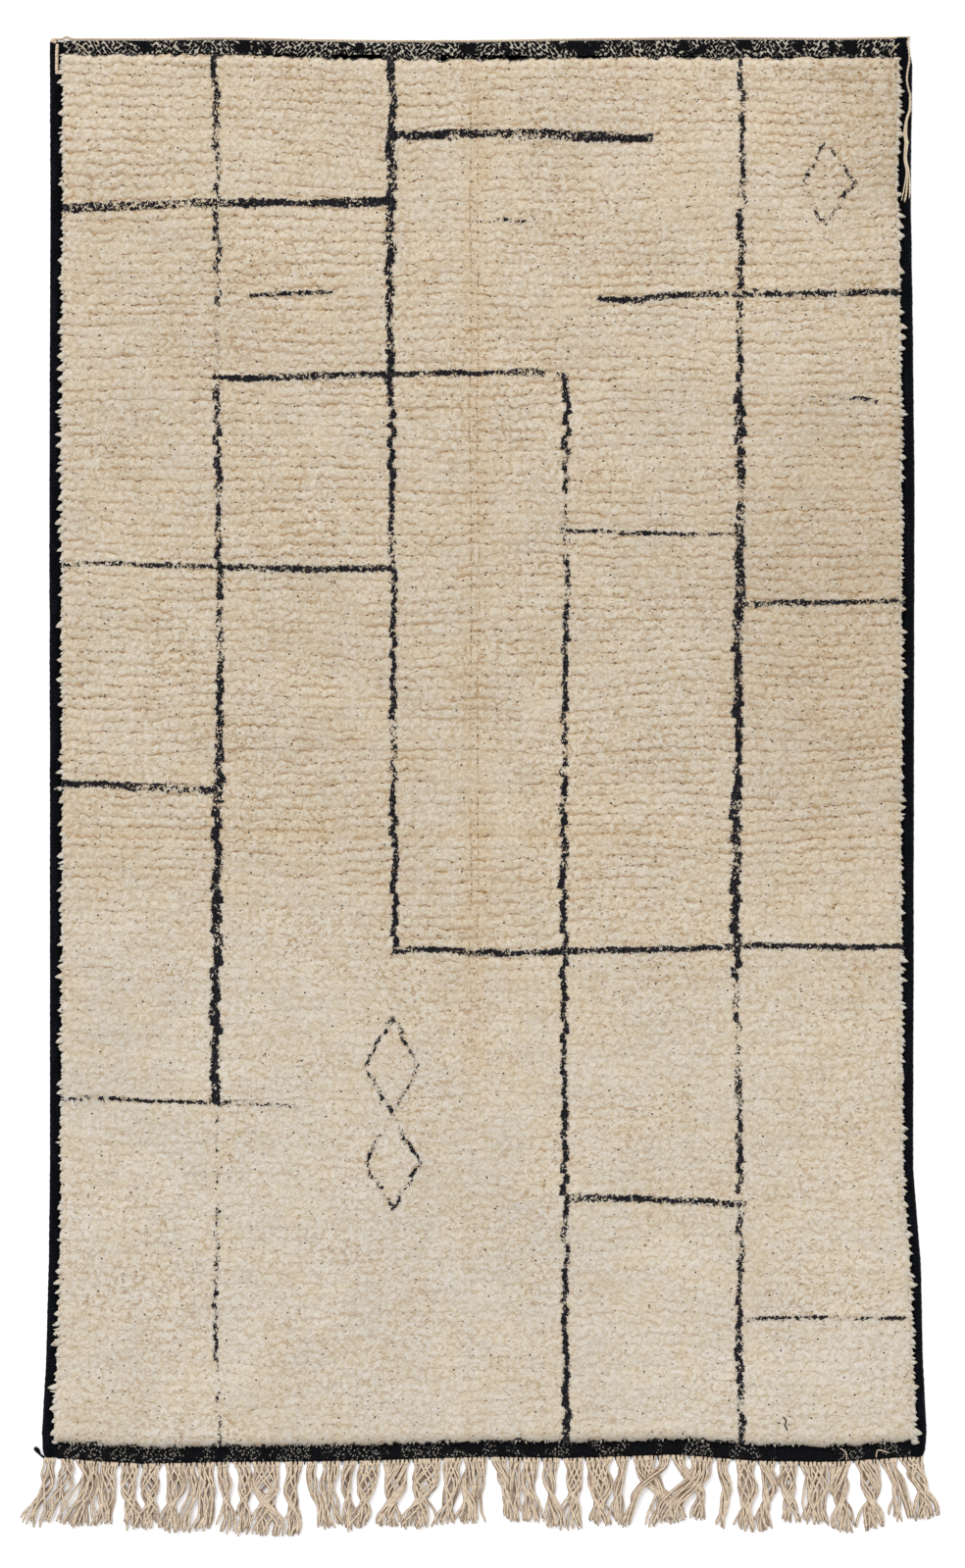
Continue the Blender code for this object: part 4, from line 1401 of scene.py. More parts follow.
@dataclass
class RimLocks:
    """Locks of pile that jut out over the side cords and the end bands."""

    pile: Pile
    per_row: int = 4
    end_pitch: float = 0.007
    sides: int = 5
    stations: int = 5

    def build(self) -> Piece:
        """Make all the locks as one piece.

        Returns:
            The piece.
        """
        rng = np.random.default_rng(5)
        mesh = PieceMesh("rim_locks")
        for side in Side:
            self.side_locks(mesh, side, rng)
        for end in End:
            self.end_locks(mesh, end, rng)
        piece = mesh.make(self.pile.material, self.pile.outline.shift)
        return piece

    def side_locks(self, mesh: PieceMesh, side: Side, rng: Draws) -> None:
        """Locks along a side, which start inside the rim and lean to the fringe.

        The first of each row's locks is broad and long, and the others are small.

        Args:
            mesh: The piece.
            side: Which side.
            rng: Draws their places and sizes.
        """
        outline = self.pile.outline
        count = self.pile.rows * self.per_row
        main = np.arange(count) % self.per_row == 0
        rho = (np.arange(count) + rng.uniform(0.0, 0.8, count)) / self.per_row
        y = self.pile.row_y(np.full(count, (side.value + 1) / 2), rho)
        long, short = rng.uniform(0.0025, 0.012, count), rng.uniform(0.0, 0.007, count)
        reach = np.where(main, long, short) * (1 + 0.5 * noise(y / 0.045, side.value * 0.5, 102))
        reach = reach + 0.004 * (rng.random(count) < 0.06)
        inset = self.pile.rim_inset(y, side)
        root = outline.side_edge(y, side) - side.value * (inset + 0.004)
        sweep = -rng.uniform(-0.002, 0.007, count)
        tip = outline.side_edge(y, side) - side.value * (inset - reach)
        starts = xyz(root, y, 0.0128)
        stops = xyz(tip, y + sweep, rng.uniform(0.0114, 0.014, count))
        self.add(mesh, starts, stops, np.floor(rho), np.where(main, 2.1, 1.2), rng)

    def end_locks(self, mesh: PieceMesh, end: End, rng: Draws) -> None:
        """Locks along an end: long ones over the bottom band, short ones over the top one.

        Args:
            mesh: The piece.
            end: Which end.
            rng: Draws their places and sizes.
        """
        outline = self.pile.outline
        count = int(2 * (outline.half_width - 0.03) / self.end_pitch)
        spread = np.linspace(-1, 1, count) * (outline.half_width - 0.028)
        x = spread + rng.uniform(-0.003, 0.003, count)
        long = end is End.BOTTOM
        reach = rng.uniform(0.002, 0.008, count) if long else rng.uniform(0.0, 0.004, count)
        inset = self.pile.end_in + (0.0 if long else np.interp(x, *self.pile.bare))
        root = outline.end_edge(x, end, inset + 0.004)
        tip = outline.end_edge(x, end, inset - reach)
        height = rng.uniform(0.007, 0.0105, count)
        starts = xyz(x, root, 0.012)
        stops = xyz(x + rng.uniform(-0.003, 0.003, count), tip, height)
        row = np.full(count, 0.0 if long else self.pile.rows - 1.0)
        self.add(mesh, starts, stops, row, np.full(count, 0.9), rng)

    def add(
        self, mesh: PieceMesh, starts: Array, stops: Array, row: Array, breadth: Array, rng: Draws
    ) -> None:
        """Add locks as flat tapered tubes that arch from root to tip.

        Args:
            mesh: The piece.
            starts: (n, 3) roots.
            stops: (n, 3) tips.
            row: The row that each belongs to.
            breadth: How broad each is, beside the usual.
            rng: Draws their widths.
        """
        paths = arches(starts, stops, self.stations, 0.0022)
        width = (rng.uniform(0.0019, 0.0031, len(starts)) * breadth)[:, None]
        taper = np.array([1.0, 1.15, 1.0, 0.66, 0.14])[None, :]
        rings = tube_rings(paths, width * taper, self.sides, 0.6)
        colour = self.pile.dye_and_shade(starts[:, 0], starts[:, 1], row, np.full(len(starts), 0.3))
        shape = rings.shape[:3]
        # lift: low at each lock's root, where the wool's shader paints shade
        lift = np.linspace(0.5, 1.0, self.stations)[None, :, None]
        plain = {"rows": 0.4, "clear": 0.0, "lift": lift, "matted": 0.2, "calm": 0.0}
        plain |= {"parting": 60.0, "crease": 0.0}
        values = {name: value * np.ones(shape) for name, value in plain.items()}
        pale = np.array(linear(self.pile.tones.lock))
        colour["tone"] = 0.45 * colour["tone"] + 0.55 * pale
        for name, value in colour.items():
            own = value.reshape(len(starts), 1, 1, *value.shape[1:])
            values[name] = np.broadcast_to(own, (*shape, *value.shape[1:]))
        mesh.add_tubes(rings, values, run_length(paths))


@dataclass
class SideCord:
    """The overcast cord down one side: its section carried along, wound with bundles of wool."""

    outline: Outline
    side: Side
    material: Material
    stations: int = 860
    bundle: float = 0.0135
    bulge: float = 0.001
    end_length: float = 0.018
    top_reach: float = 0.0035
    corner: float = 0.0065
    corner_length: float = 0.016
    middle: tuple[float, float] = (0.0095, 0.0045)
    most_out: float = 0.0012

    def section(self) -> Array:
        """The section with more points round its crown.

        Returns:
            (points, 2), insets and heights.
        """
        given = np.array(CORD_SECTION)
        crown = given[:7]
        gone = np.append(0, np.cumsum(np.hypot(*np.diff(crown, axis=0).T)))
        even = np.linspace(0, gone[-1], 13)
        dense = np.stack([np.interp(even, gone, crown[:, k]) for k in range(2)], axis=1)
        return np.vstack([dense, given[7:]])

    def build(self) -> Piece:
        """Make the cord.

        Each point moves out along the way from the section's middle by the bundles' swell: the
        square root of a half sine along the cord, slanted round it, with noise. The bottom
        corner is rounded by a quarter of an ellipse.

        Returns:
            The piece.
        """
        node = "selvedge_left" if self.side is Side.LEFT else "selvedge_right"
        low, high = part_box(node)
        ys = np.linspace(low.y, high.y + self.top_reach, self.stations) - self.outline.shift[1]
        section = self.section()
        ends = np.clip(np.minimum(ys - ys[0], ys[-1] - ys) / self.end_length, 0, 1)
        fullness = (0.45 + 0.55 * np.sqrt(ends))[:, None]
        out = section - np.array(self.middle)
        out /= np.linalg.norm(out, axis=1)[:, None]
        turn = np.arange(len(section))[None, :] / len(section)
        seed = 51 + self.side.value
        warp = 0.35 * noise(ys / 0.03, 0.5, seed)[:, None]
        phase = ys[:, None] / self.bundle + 1.1 * turn + warp
        swell = np.sqrt(np.abs(np.sin(np.pi * phase))) - 0.62
        swell = swell * (0.8 + 0.4 * noise(np.floor(phase), 0.5, seed + 3))
        lumps = 0.5 * noise(ys[:, None] / 0.007, turn * 7, seed + 5)
        lumps = lumps + 0.7 * noise(ys[:, None] / 0.045, turn * 2, seed + 7)
        is_cord = (section[:, 1] > self.middle[1]) & (section[:, 0] < 0.0179)
        amount = self.bulge * (swell + 0.5 * lumps) * is_cord[None, :]
        inset = section[None, :, 0] + amount * out[None, :, 0]
        inset = np.maximum(inset, -self.most_out)
        near = np.clip(1 - (ys - ys[0]) / self.corner_length, 0, 1)
        cut = self.corner * (1 - np.sqrt(1 - near**2))[:, None]
        inset = inset + cut * np.clip(1 - section[None, :, 0] / 0.018, 0, 1)
        height = np.maximum(section[None, :, 1] + amount * out[None, :, 1], 0)
        over = np.maximum(height - 0.004, 0)
        height = height - over * (1 - fullness)
        edge = self.outline.side_edge(ys, self.side)[:, None]
        x = edge - self.side.value * inset
        rings = xyz(x, ys[:, None], height)[None]
        if self.side is Side.LEFT:
            rings = rings[:, :, ::-1]
        mesh = PieceMesh(node + "_wool")
        mesh.add_tubes(rings, {}, (ys - ys[0])[None])
        piece = mesh.make(self.material, self.outline.shift)
        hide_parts(node)
        return piece


@dataclass
class EndBand:
    """A dark flat-woven band across an end, with the slanting relief of its twining."""

    outline: Outline
    end: End
    material: Material
    columns: int = 500
    lines: int = 13
    width: float = 0.036
    top_extra: float = 0.008
    top_gap: float = 0.0052
    thickness: float = 0.004
    side_inset: float = 0.0244
    rib: float = 0.0105

    def build(self) -> Piece:
        """Make the band as a closed slab.

        Its upper side is a grid whose height adds ribs that lean one way and then the other: a
        sine of x plus or minus y over the rib's pitch.

        Returns:
            The piece.
        """
        node = "end_band_top" if self.end is End.TOP else "end_band_bottom"
        outer = self.top_gap if self.end is End.TOP else 0.0
        share = np.linspace(0, 1, self.lines)[:, None]
        width = self.width + (self.top_extra if self.end is End.TOP else 0.0)
        insets = outer + (width - outer) * (share if self.end is End.BOTTOM else 1 - share)
        guess = self.end.value * (self.outline.length / 2 - insets)
        x = self.outline.across(guess, self.side_inset, np.linspace(0, 1, self.columns))
        y = self.outline.end_edge(x, self.end, insets)
        lean = np.where(noise(x / 0.05, y * 0, 61) > 0, 1, -1)
        ribs = np.abs(np.sin(np.pi * (x + lean * y * 1.4) / self.rib))
        relief = 0.0005 * ribs + 0.0005 * noise(x / 0.006, y / 0.004, 62)
        relief = relief + 0.0006 * noise(x / 0.03, y / 0.012, 63)
        edge = np.minimum(share, 1 - share) * (self.lines - 1)
        z = self.thickness - 0.0008 * (edge < 0.5) + relief
        top = xyz(x, y, z)
        mesh = PieceMesh(node + "_wool")
        mesh.add_grid(top, {})
        mesh.add_faces(mesh.drop_rim(top, {}, 0.0)[None, ::-1])
        piece = mesh.make(self.material, self.outline.shift)
        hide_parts(node)
        return piece


@dataclass
class Ground:
    """The woven ground: a thin ribbed cloth under the pile."""

    outline: Outline
    material: Material
    lines: int = 257
    columns: int = 60
    thickness: float = 0.004
    side_inset: float = 0.0253
    end_inset: float = 0.0363
    top_extra: float = 0.008
    rib: float = 0.0006

    def build(self) -> Piece:
        """Make the cloth, ribbed underneath by its rows of knots and wefts.

        Returns:
            The piece.
        """
        share = np.linspace(0, 1, self.lines)[:, None]
        guess = (2 * share - 1) * (self.outline.length / 2 - self.end_inset)
        x = self.outline.across(guess, self.side_inset, np.linspace(0, 1, self.columns))
        low = self.outline.end_edge(x, End.BOTTOM, self.end_inset)
        high = self.outline.end_edge(x, End.TOP, self.end_inset + self.top_extra)
        y = low + share * (high - low)
        under = self.rib * (0.5 + 0.5 * (-1) ** np.arange(self.lines))[:, None] * np.ones_like(x)
        under = under * (0.7 + 0.3 * noise(x / 0.03, y / 0.03, 64))
        under[[0, -1]] = 0
        mesh = PieceMesh("ground_cloth")
        upper = xyz(x, y, self.thickness)
        lower = xyz(x, y, under)
        index = mesh.add_points(lower, {})
        mesh.add_faces(quads(index)[:, ::-1])
        rim = rim_of(index)
        above = mesh.add_points(upper.reshape(-1, 3)[rim], {})
        mesh.add_wall(rim, above)
        mesh.add_faces(above[None, :])
        piece = mesh.make(self.material, self.outline.shift)
        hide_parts("ground_weave")
        return piece


@dataclass
class Cords:
    """The cream cords: the twined one along the top, the corner knot and the loose ends."""

    outline: Outline
    material: Material
    twist: float = 0.0125
    edge_radius: float = 0.0024
    edge_height: float = 0.0029
    knot_radius: float = 0.0025
    loose_radius: float = 0.002
    tail_radius: float = 0.003
    loop_x: float = -0.7335

    def rope(
        self, name: str, path: Array, radius: float, sides: int, apart: float = 0.44
    ) -> PieceMesh:
        """A cord of two plies along a path.

        Args:
            name: The piece's name.
            path: (stations, 3) of its middle.
            radius: Of the whole cord.
            sides: Points round each ply.
            apart: From the cord's middle to a ply's middle, as a share of the radius.

        Returns:
            Its mesh.
        """
        plies = ply_paths(path, 2, radius * apart, self.twist)
        mesh = PieceMesh(name)
        thin = np.interp(np.linspace(0, 1, len(path)), (0, 0.01, 0.99, 1), (0.8, 1, 1, 0.6))
        radii = np.broadcast_to(radius * (1.04 - apart) * thin, plies.shape[:2])
        mesh.add_yarns(plies, radii, sides)
        return mesh

    def top_edge(self) -> Piece:
        """The twined cord along the top edge.

        It rises in a small loop beside the knot, and turns down to the loose cord at the right.

        Returns:
            The piece.
        """
        low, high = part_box("top_cord")
        xs = np.linspace(low.x - 0.005, high.x, 760) - self.outline.shift[0]
        wander = 0.0005 * noise(xs / 0.03, 0.5, 71)
        loop = 0.0042 * np.exp(-(((xs - self.loop_x) / 0.0058) ** 2))
        y = self.outline.end_edge(xs, End.TOP) - 0.0026 + wander + loop
        path = xyz(xs, y, self.edge_height - wander / 2 + loop / 4)
        start = self.route(LOOSE_CORD_ROUTE, self.loose_radius, Side.RIGHT, 130)[0]
        bend = np.array([path[-1], path[-1] + (0.003, -0.0006, 0.0035), start])
        path = np.vstack([path, smooth_path(bend, 10)[1:]])
        mesh = self.rope("top_edge_cord", path, self.edge_radius, 6)
        piece = mesh.make(self.material, self.outline.shift)
        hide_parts("top_cord")
        return piece

    def lying_height(self, inset: Array, radius: float) -> Array:
        """How high a round yarn's middle lies on a side cord, clear of it over its whole width.

        Args:
            inset: In from the side's outer edge.
            radius: The yarn's.

        Returns:
            The height at each inset.
        """
        surface = np.array(CORD_SECTION[:-1])
        offsets = np.linspace(-radius, radius, 9)[:, None]
        tops = np.interp(inset[None] + offsets, surface[:, 0], surface[:, 1])
        return (tops + np.sqrt(radius**2 - offsets**2)).max(axis=0) + 0.0005

    def route(self, stops: tuple, radius: float, side: Side, count: int) -> Array:
        """A loose end's middle line along a side cord.

        Args:
            stops: Each one's way below the top edge and in from the side's.
            radius: The end's.
            side: Which side.
            count: How many points to return.

        Returns:
            (count, 3) points through the stops.
        """
        down, inset = np.array(stops).T
        x, y = self.outline.side_point(down, inset, side)
        return smooth_path(xyz(x, y, self.lying_height(inset, radius)), count)

    def loose_cord(self) -> Piece:
        """The loose cord from the top right corner, whose strands part near its end.

        Returns:
            The piece.
        """
        path = self.route(LOOSE_CORD_ROUTE, self.loose_radius, Side.RIGHT, 130)
        mesh = self.rope("loose_cord_yarn", path, self.loose_radius, 6)
        piece = mesh.make(self.material, self.outline.shift)
        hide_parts("loose_cord")
        strands = PieceMesh("loose_cord_strands")
        for first, last, near, far, radius in (
            (44, 129, -0.0019, -0.0058, 0.0014),
            (66, 127, 0.0019, 0.0072, 0.0014),
            (80, 84, 0.001, 0.001, 0.0032),
        ):
            part = path[first:last].copy()
            share = np.linspace(0, 1, len(part))
            parted = smoothstep(100, 130, np.arange(first, last))
            part[:, 0] += near + (far - near) * parted + 0.0004 * noise(share * 9, near, 72)
            part[:, 2] = part[:, 2].max() * 0.3 + part[:, 2] * 0.7
            radii = radius * np.interp(share, (0, 0.1, 0.9, 1), (0.5, 1, 1, 0.5))[None]
            strands.add_yarns(part[None], radii, 6)
        extra = strands.make(self.material, self.outline.shift)
        return piece

    def corner_tail(self) -> Piece:
        """The short end that lies down the left side cord from the corner knot.

        Returns:
            The piece.
        """
        path = self.route(CORNER_TAIL_ROUTE, 0.0027, Side.LEFT, 32)
        mesh = self.rope("corner_tail_yarn", path, self.tail_radius, 8, apart=0.2)
        piece = mesh.make(self.material, self.outline.shift)
        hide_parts("corner_tail")
        return piece

    def corner_knot(self) -> Piece:
        """The overhand knot at the top left corner, wound as a trefoil.

        Returns:
            The piece.
        """
        low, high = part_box("corner_knot")
        middle = np.array([*((low + high) / 2)])
        middle[:2] -= self.outline.shift
        half = np.array([*((high - low) / 2)]) + np.array([0.0006, 0.0014, 0.0])
        middle[1] -= 0.001
        t = np.linspace(0, 2 * np.pi, 72)
        curve = xyz(np.sin(t) + 2 * np.sin(2 * t), np.cos(t) - 2 * np.cos(2 * t), -np.sin(3 * t))
        path = middle + curve / (3.0, 3.0, 1.0) * (half - self.knot_radius)
        mesh = PieceMesh("corner_knot_yarn")
        mesh.add_yarns(path[None], np.full((1, len(t)), self.knot_radius), 8)
        piece = mesh.make(self.material, self.outline.shift)
        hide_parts("corner_knot")
        return piece


@dataclass
class CornerTuft:
    """The knotted tuft of dark wool at the bottom left corner, with loose fibres."""

    outline: Outline
    material: Material
    height: float = 0.0048

    def build(self) -> Piece:
        """Make the stem and knob, and the short ends that stick out of the knob.

        Returns:
            The piece.
        """
        out, down, radius = np.array(CORNER_TUFT).T
        x, y = self.outline.side_point(down, -out, Side.LEFT)
        given = xyz(x, y, self.height)
        path = smooth_path(given, 26)
        share = np.linspace(0, 1, 26)
        radii = np.interp(share, np.linspace(0, 1, len(radius)), radius)
        radii = radii * (1 + 0.1 * noise(share * 9, 0.5, 81))
        radii[[0, -1]] *= 0.5
        mesh = PieceMesh("corner_tuft_wool")
        rings = tube_rings(path[None], radii[None], 12)
        lumps = 1 + 0.12 * noise(share[:, None] * 8, np.arange(12)[None] * 1.3, 82)
        rings[0] = path[:, None] + (rings[0] - path[:, None]) * lumps[..., None]
        mesh.add_tubes(rings, {}, run_length(path[None]))
        rng = np.random.default_rng(8)
        count = 14
        angle = rng.uniform(0, 2 * np.pi, count)
        heading = xyz(np.cos(angle), np.sin(angle), rng.uniform(-0.2, 0.5, count))
        t = np.linspace(0.3, 1, 5)[None, :, None]
        hairs = given[4] + heading[:, None] * t * rng.uniform(0.005, 0.0072, count)[:, None, None]
        hairs[..., 2] = np.maximum(hairs[..., 2], 0.0006)
        width = 0.0005 * np.linspace(1, 0.4, 5)[None] * np.ones((count, 1))
        mesh.add_yarns(hairs, width, 4)
        piece = mesh.make(self.material, self.outline.shift)
        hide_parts("corner_tuft")
        return piece


@dataclass
class StrayYarns:
    """Short ends of yarn that lie on the end bands and on the pile."""

    outline: Outline
    radius: float = 0.0011
    stations: int = 16

    def build(
        self, name: str, slot: Slot, routes: tuple, height: float, material: Material
    ) -> Piece:
        """Make ends of one sort as one piece.

        Args:
            name: The piece's name.
            slot: Not used.
            routes: Each end's stops, x and y in the plan.
            height: Of their middles over the floor.
            material: Their finish.

        Returns:
            The piece.
        """
        mesh = PieceMesh(name)
        for k, route in enumerate(routes):
            stops = np.column_stack([np.array(route), np.full(len(route), height)])
            path = smooth_path(stops, self.stations)
            share = np.linspace(0, 1, self.stations)
            path[:, 2] += 0.001 * np.sin(np.pi * share) + 0.0004 * noise(share * 6, 0.5 + k, 85)
            radii = self.radius * np.interp(share, (0, 0.1, 0.9, 1), (0.5, 1, 1, 0.4))
            mesh.add_yarns(path[None], radii[None], 6)
        piece = mesh.make(material, self.outline.shift)
        return piece


@dataclass
class Fringe:
    """The warp ends: yarns that leave the bottom band side by side, gather and fan out."""

    outline: Outline
    cotton: Material
    stitching: Material
    yarns: int = 520
    stations: int = 18
    sides: int = 5
    radius: float = 0.0024
    length: float = 0.119
    root_pitch: float = 0.0025
    tip_pitch: float = 0.0023
    outer_lean: float = 0.046
    tip_reach: float = 0.823
    snarl_x: float = 0.335
    knob_yarns: int = 3

    def bunches(self, rng: Draws) -> tuple[Array, Array]:
        """Which bunch each yarn leaves the edge in, and which clump it ends in.

        Args:
            rng: Draws how many yarns and bunches go together.

        Returns:
            Two whole numbers a yarn. A bunch has 6 to 19 yarns, and a clump 1 to 3 bunches.
        """
        sizes = rng.choice((6, 8, 9, 11, 12, 13, 14, 16, 19), self.yarns)
        bunch = np.repeat(np.arange(len(sizes)), sizes)[: self.yarns]
        joined = rng.choice((1, 1, 2, 2, 3), bunch[-1] + 1)
        return bunch, np.repeat(np.arange(bunch[-1] + 1), joined)[bunch]

    def paths(self) -> Array:
        """The yarns' middle lines.

        Yarns leave the edge close together in bunches, with a gap after each. A bunch draws in,
        less at the left, and its yarns stand round a flat oval. They turn round it on the way
        down, all one way as in a rope or by pairs both ways as in a plait. It wanders, and runs
        into its clump, which ends as a blunt tassel with its yarns shuffled. Bunches near the
        snarl cross over each other, and one yarn in 20 strays.

        Returns:
            (yarns, stations, 3).
        """
        rng = np.random.default_rng(11)
        bunch, clump = self.bunches(rng)
        count = bunch[-1] + 1
        each = np.arange(self.yarns)[:, None] + 0.5
        bottom = -self.outline.length / 2
        left = self.outline.side_edge(bottom, Side.LEFT) + 0.003
        right = self.outline.side_edge(bottom, Side.RIGHT) - 0.003
        gaps = rng.uniform(0.5, 2.0, count)
        gaps[-1] = 0
        spare = (right - left) - self.root_pitch * (self.yarns - 1)
        before = np.append(0, np.cumsum(gaps[:-1])) / gaps.sum() * spare
        root = left + np.arange(self.yarns) * self.root_pitch + before[bunch]

        def centre(group: Array, values: Array) -> Array:
            """Each yarn's group's mean."""
            return (np.bincount(group, values) / np.bincount(group))[group]

        t = np.linspace(0, 1, self.stations)[None, :]
        loose = smoothstep(0.0, 0.2, t)
        middle = centre(bunch, root)
        half = (np.bincount(bunch)[bunch] * self.root_pitch / 2)[:, None]
        start = np.arccos(np.clip((root - middle)[:, None] / half, -1, 1))
        start = start * (1 - 2 * (np.arange(self.yarns) % 2))[:, None]
        plaited = rng.random(count)[bunch] < 0.6
        pairs = 1 - np.arange(self.yarns) // 2 % 2 * 2
        turning = np.where(plaited, pairs, rng.choice((-1, 1), count)[bunch])
        turning = turning * rng.uniform(3.0, 9.0, count)[bunch]
        angle = start + turning[:, None] * smoothstep(0.0, 1.3, t)
        dense = 0.14 * smoothstep(0.1, -0.2, middle)
        tight = (rng.uniform(0.5, 0.78, count)[bunch] + dense)[:, None]
        drawn = middle[:, None] + half * np.cos(angle) * (1 - (1 - tight) * loose)

        mixed = clump * 1000 + np.arange(self.yarns) + rng.normal(0, 3.0, self.yarns)
        rank = np.argsort(np.argsort(mixed)).astype(float)
        rank = rank - centre(clump, rank)
        heart = centre(clump, root)
        outwards = (heart - left) / (right - left) * 2 - 1
        lean = rng.normal(0, 0.011, clump[-1] + 1)[clump] * (1 - outwards**4)
        spread = self.tip_pitch * (1.15 - 0.15 * outwards + 0.4 * outwards**8)
        tip = heart + lean + self.outer_lean * outwards**7 + rank * spread
        tip = tip + rng.normal(0, 0.0034, self.yarns) * (1 + 2 * outwards**12)
        tip = tip + rng.uniform(-0.03, 0.03, self.yarns) * (rng.random(self.yarns) < 0.05)
        reach = self.tip_reach - rng.uniform(0.0, 0.012, self.yarns)
        tip = np.clip(tip, -reach, reach)
        joining = smoothstep(0.15, 1.2, t + 0.08 * rng.normal(0, 1, count)[bunch][:, None])
        x = drawn * (1 - joining) + tip[:, None] * joining
        snarl = np.exp(-(((root - self.snarl_x) / 0.075) ** 2))[:, None]
        crossing = np.where(bunch % 2, -0.046, 0.05)[:, None] * snarl * smoothstep(0.04, 0.6, t)
        sweep = (0.0105 + 0.006 * snarl) * noise(t * 2.6, bunch[:, None] * 3 + 0.5, 91)
        sweep = sweep + 0.0062 * noise(t * 3.0, each * 3, 92) + 0.0022 * noise(t * 7, each * 3, 96)
        x = x + crossing + sweep * loose

        size = np.bincount(clump)[clump]
        rounding = 0.009 * np.abs(rank / np.maximum(size / 2, 1)) ** 2.5
        long = self.length + rng.normal(0, 0.0065, clump[-1] + 1)[clump] - rounding
        long = np.clip(long + rng.normal(0, 0.0032, self.yarns), 0.088, 0.131)[:, None]
        inside = rng.uniform(0.0002, 0.0016, (self.yarns, 1))
        y = self.outline.end_edge(root, End.BOTTOM)[:, None] + inside - long * t
        y = y + 0.002 * noise(t * 3.1, each, 93) * loose
        height = np.minimum(half * 0.35, 0.003) * (1 + np.sin(angle)) * loose
        height = height + (0.001 + 0.0008 * snarl) * (1 + noise(t * 4, each, 94)) * loose
        height = height + 0.004 * snarl * (bunch % 2)[:, None] * np.sin(np.pi * t)
        z = self.radius + height + 0.0022 * smoothstep(0.12, 0.0, t)
        return xyz(x, y, z)

    def build(self) -> Piece:
        """Make all the yarns as one piece.

        How deep a point lies, which the cotton's shader paints as shade, is its drop below its
        bunch's highest yarn, over 7 mm, less towards the tips, and each yarn is a little lighter or
        darker than the next.

        Returns:
            The piece.
        """
        paths = self.paths()
        share = np.linspace(0, 1, self.stations)
        taper = np.interp(share, (0, 0.95, 1), (0.9, 1.0, 0.6))[None]
        uneven = 1 + 0.12 * noise(share * 9, np.arange(self.yarns)[:, None] + 0.5, 95)
        rings = tube_rings(paths, self.radius * taper * uneven, self.sides)
        bunch, _ = self.bunches(np.random.default_rng(11))
        firsts = np.searchsorted(bunch, np.arange(bunch[-1] + 1))
        top = np.maximum.reduceat(paths[..., 2], firsts, axis=0)[bunch] + self.radius
        deep = (top[..., None] - rings[..., 2]) / 0.007 * (1 - 0.5 * share)[:, None]
        deep = deep + 0.2 * scatter(np.arange(self.yarns), 5, 98)[:, None, None]
        mesh = PieceMesh("fringe_yarns")
        mesh.add_tubes(rings, {"deep": deep}, run_length(paths))
        piece = mesh.make(self.cotton, self.outline.shift)
        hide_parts("fringe")
        return piece

    def knob_paths(self) -> tuple[Array, Array]:
        """The middle lines and half widths of the knobs where yarns turn over the band's edge.

        Each bunch's yarns make knobs of up to three. A knob runs from the edge, or just in or
        out of it, to where its yarns are a few millimetres below.

        Returns:
            (knobs, 6, 3) and (knobs,).
        """
        bunch, _ = self.bunches(np.random.default_rng(11))
        order = np.arange(self.yarns) - np.searchsorted(bunch, bunch)
        _, knob = np.unique(bunch * 10 + order // self.knob_yarns, return_inverse=True)
        held = np.bincount(knob)
        yarns = self.paths()
        x0, x1 = (np.bincount(knob, yarns[:, k, 0]) / held for k in (0, 2))
        rng = np.random.default_rng(12)
        inside = rng.uniform(-0.003, 0.0014, len(held))
        below = rng.uniform(0.0045, 0.0125, len(held))
        edge = self.outline.end_edge(x0, End.BOTTOM)
        starts = xyz(x0, edge + inside, 0.005)
        aside = x0 + (x1 - x0) * below / 0.017
        stops = xyz(aside, edge - below, 0.0036)
        paths = arches(starts, stops, 6, 0.0012)
        half = held * self.root_pitch * rng.uniform(0.28, 0.52, len(held))
        return paths, np.maximum(half, 0.0018)

    def knobs(self) -> Piece:
        """The knobs, as flat tapered tubes with lumps.

        Returns:
            The piece.
        """
        paths, half = self.knob_paths()
        taper = np.array([0.45, 0.9, 1.0, 0.9, 0.75, 0.4])
        uneven = 1 + 0.25 * noise(np.arange(6) * 0.9, np.arange(len(half))[:, None] * 3.0, 97)
        rings = tube_rings(paths, half[:, None] * taper * uneven, 8, 0.42)
        # How much painted shade each knob takes, by chance and in mottles
        shade = 0.35 + 0.35 * scatter(np.arange(len(half)), 6, 99)
        mottle = noise(rings[..., 0] / 0.002, rings[..., 1] / 0.003, 100)
        deep = shade[:, None, None] + 0.25 * mottle
        mesh = PieceMesh("fringe_knobs")
        mesh.add_tubes(rings, {"deep": deep}, run_length(paths))
        piece = mesh.make(self.cotton, self.outline.shift)
        return piece

    def stitches(self) -> Piece:
        """The dark whip stitches that hold the bottom band's edge between the knobs.

        Returns:
            The piece.
        """
        rng = np.random.default_rng(13)
        knobs = self.knob_paths()[0][:, 0, 0]
        x = (knobs[1:] + knobs[:-1]) / 2
        x = x[rng.random(len(x)) < 0.8]
        count = len(x)
        edge = self.outline.end_edge(x, End.BOTTOM)
        reach = rng.uniform(0.002, 0.008, count)
        starts = xyz(x, edge + 0.005, 0.0062)
        aside = x + rng.uniform(-0.002, 0.002, count)
        stops = xyz(aside, edge - reach, 0.0064)
        paths = arches(starts, stops, 6, 0.001)
        radii = rng.uniform(0.0009, 0.0014, count)[:, None] * np.array([1, 1, 1, 1, 0.9, 0.4])
        mesh = PieceMesh("edge_stitches")
        mesh.add_yarns(paths, radii, 5)
        piece = mesh.make(self.stitching, self.outline.shift)
        return piece


# --- The studio ---


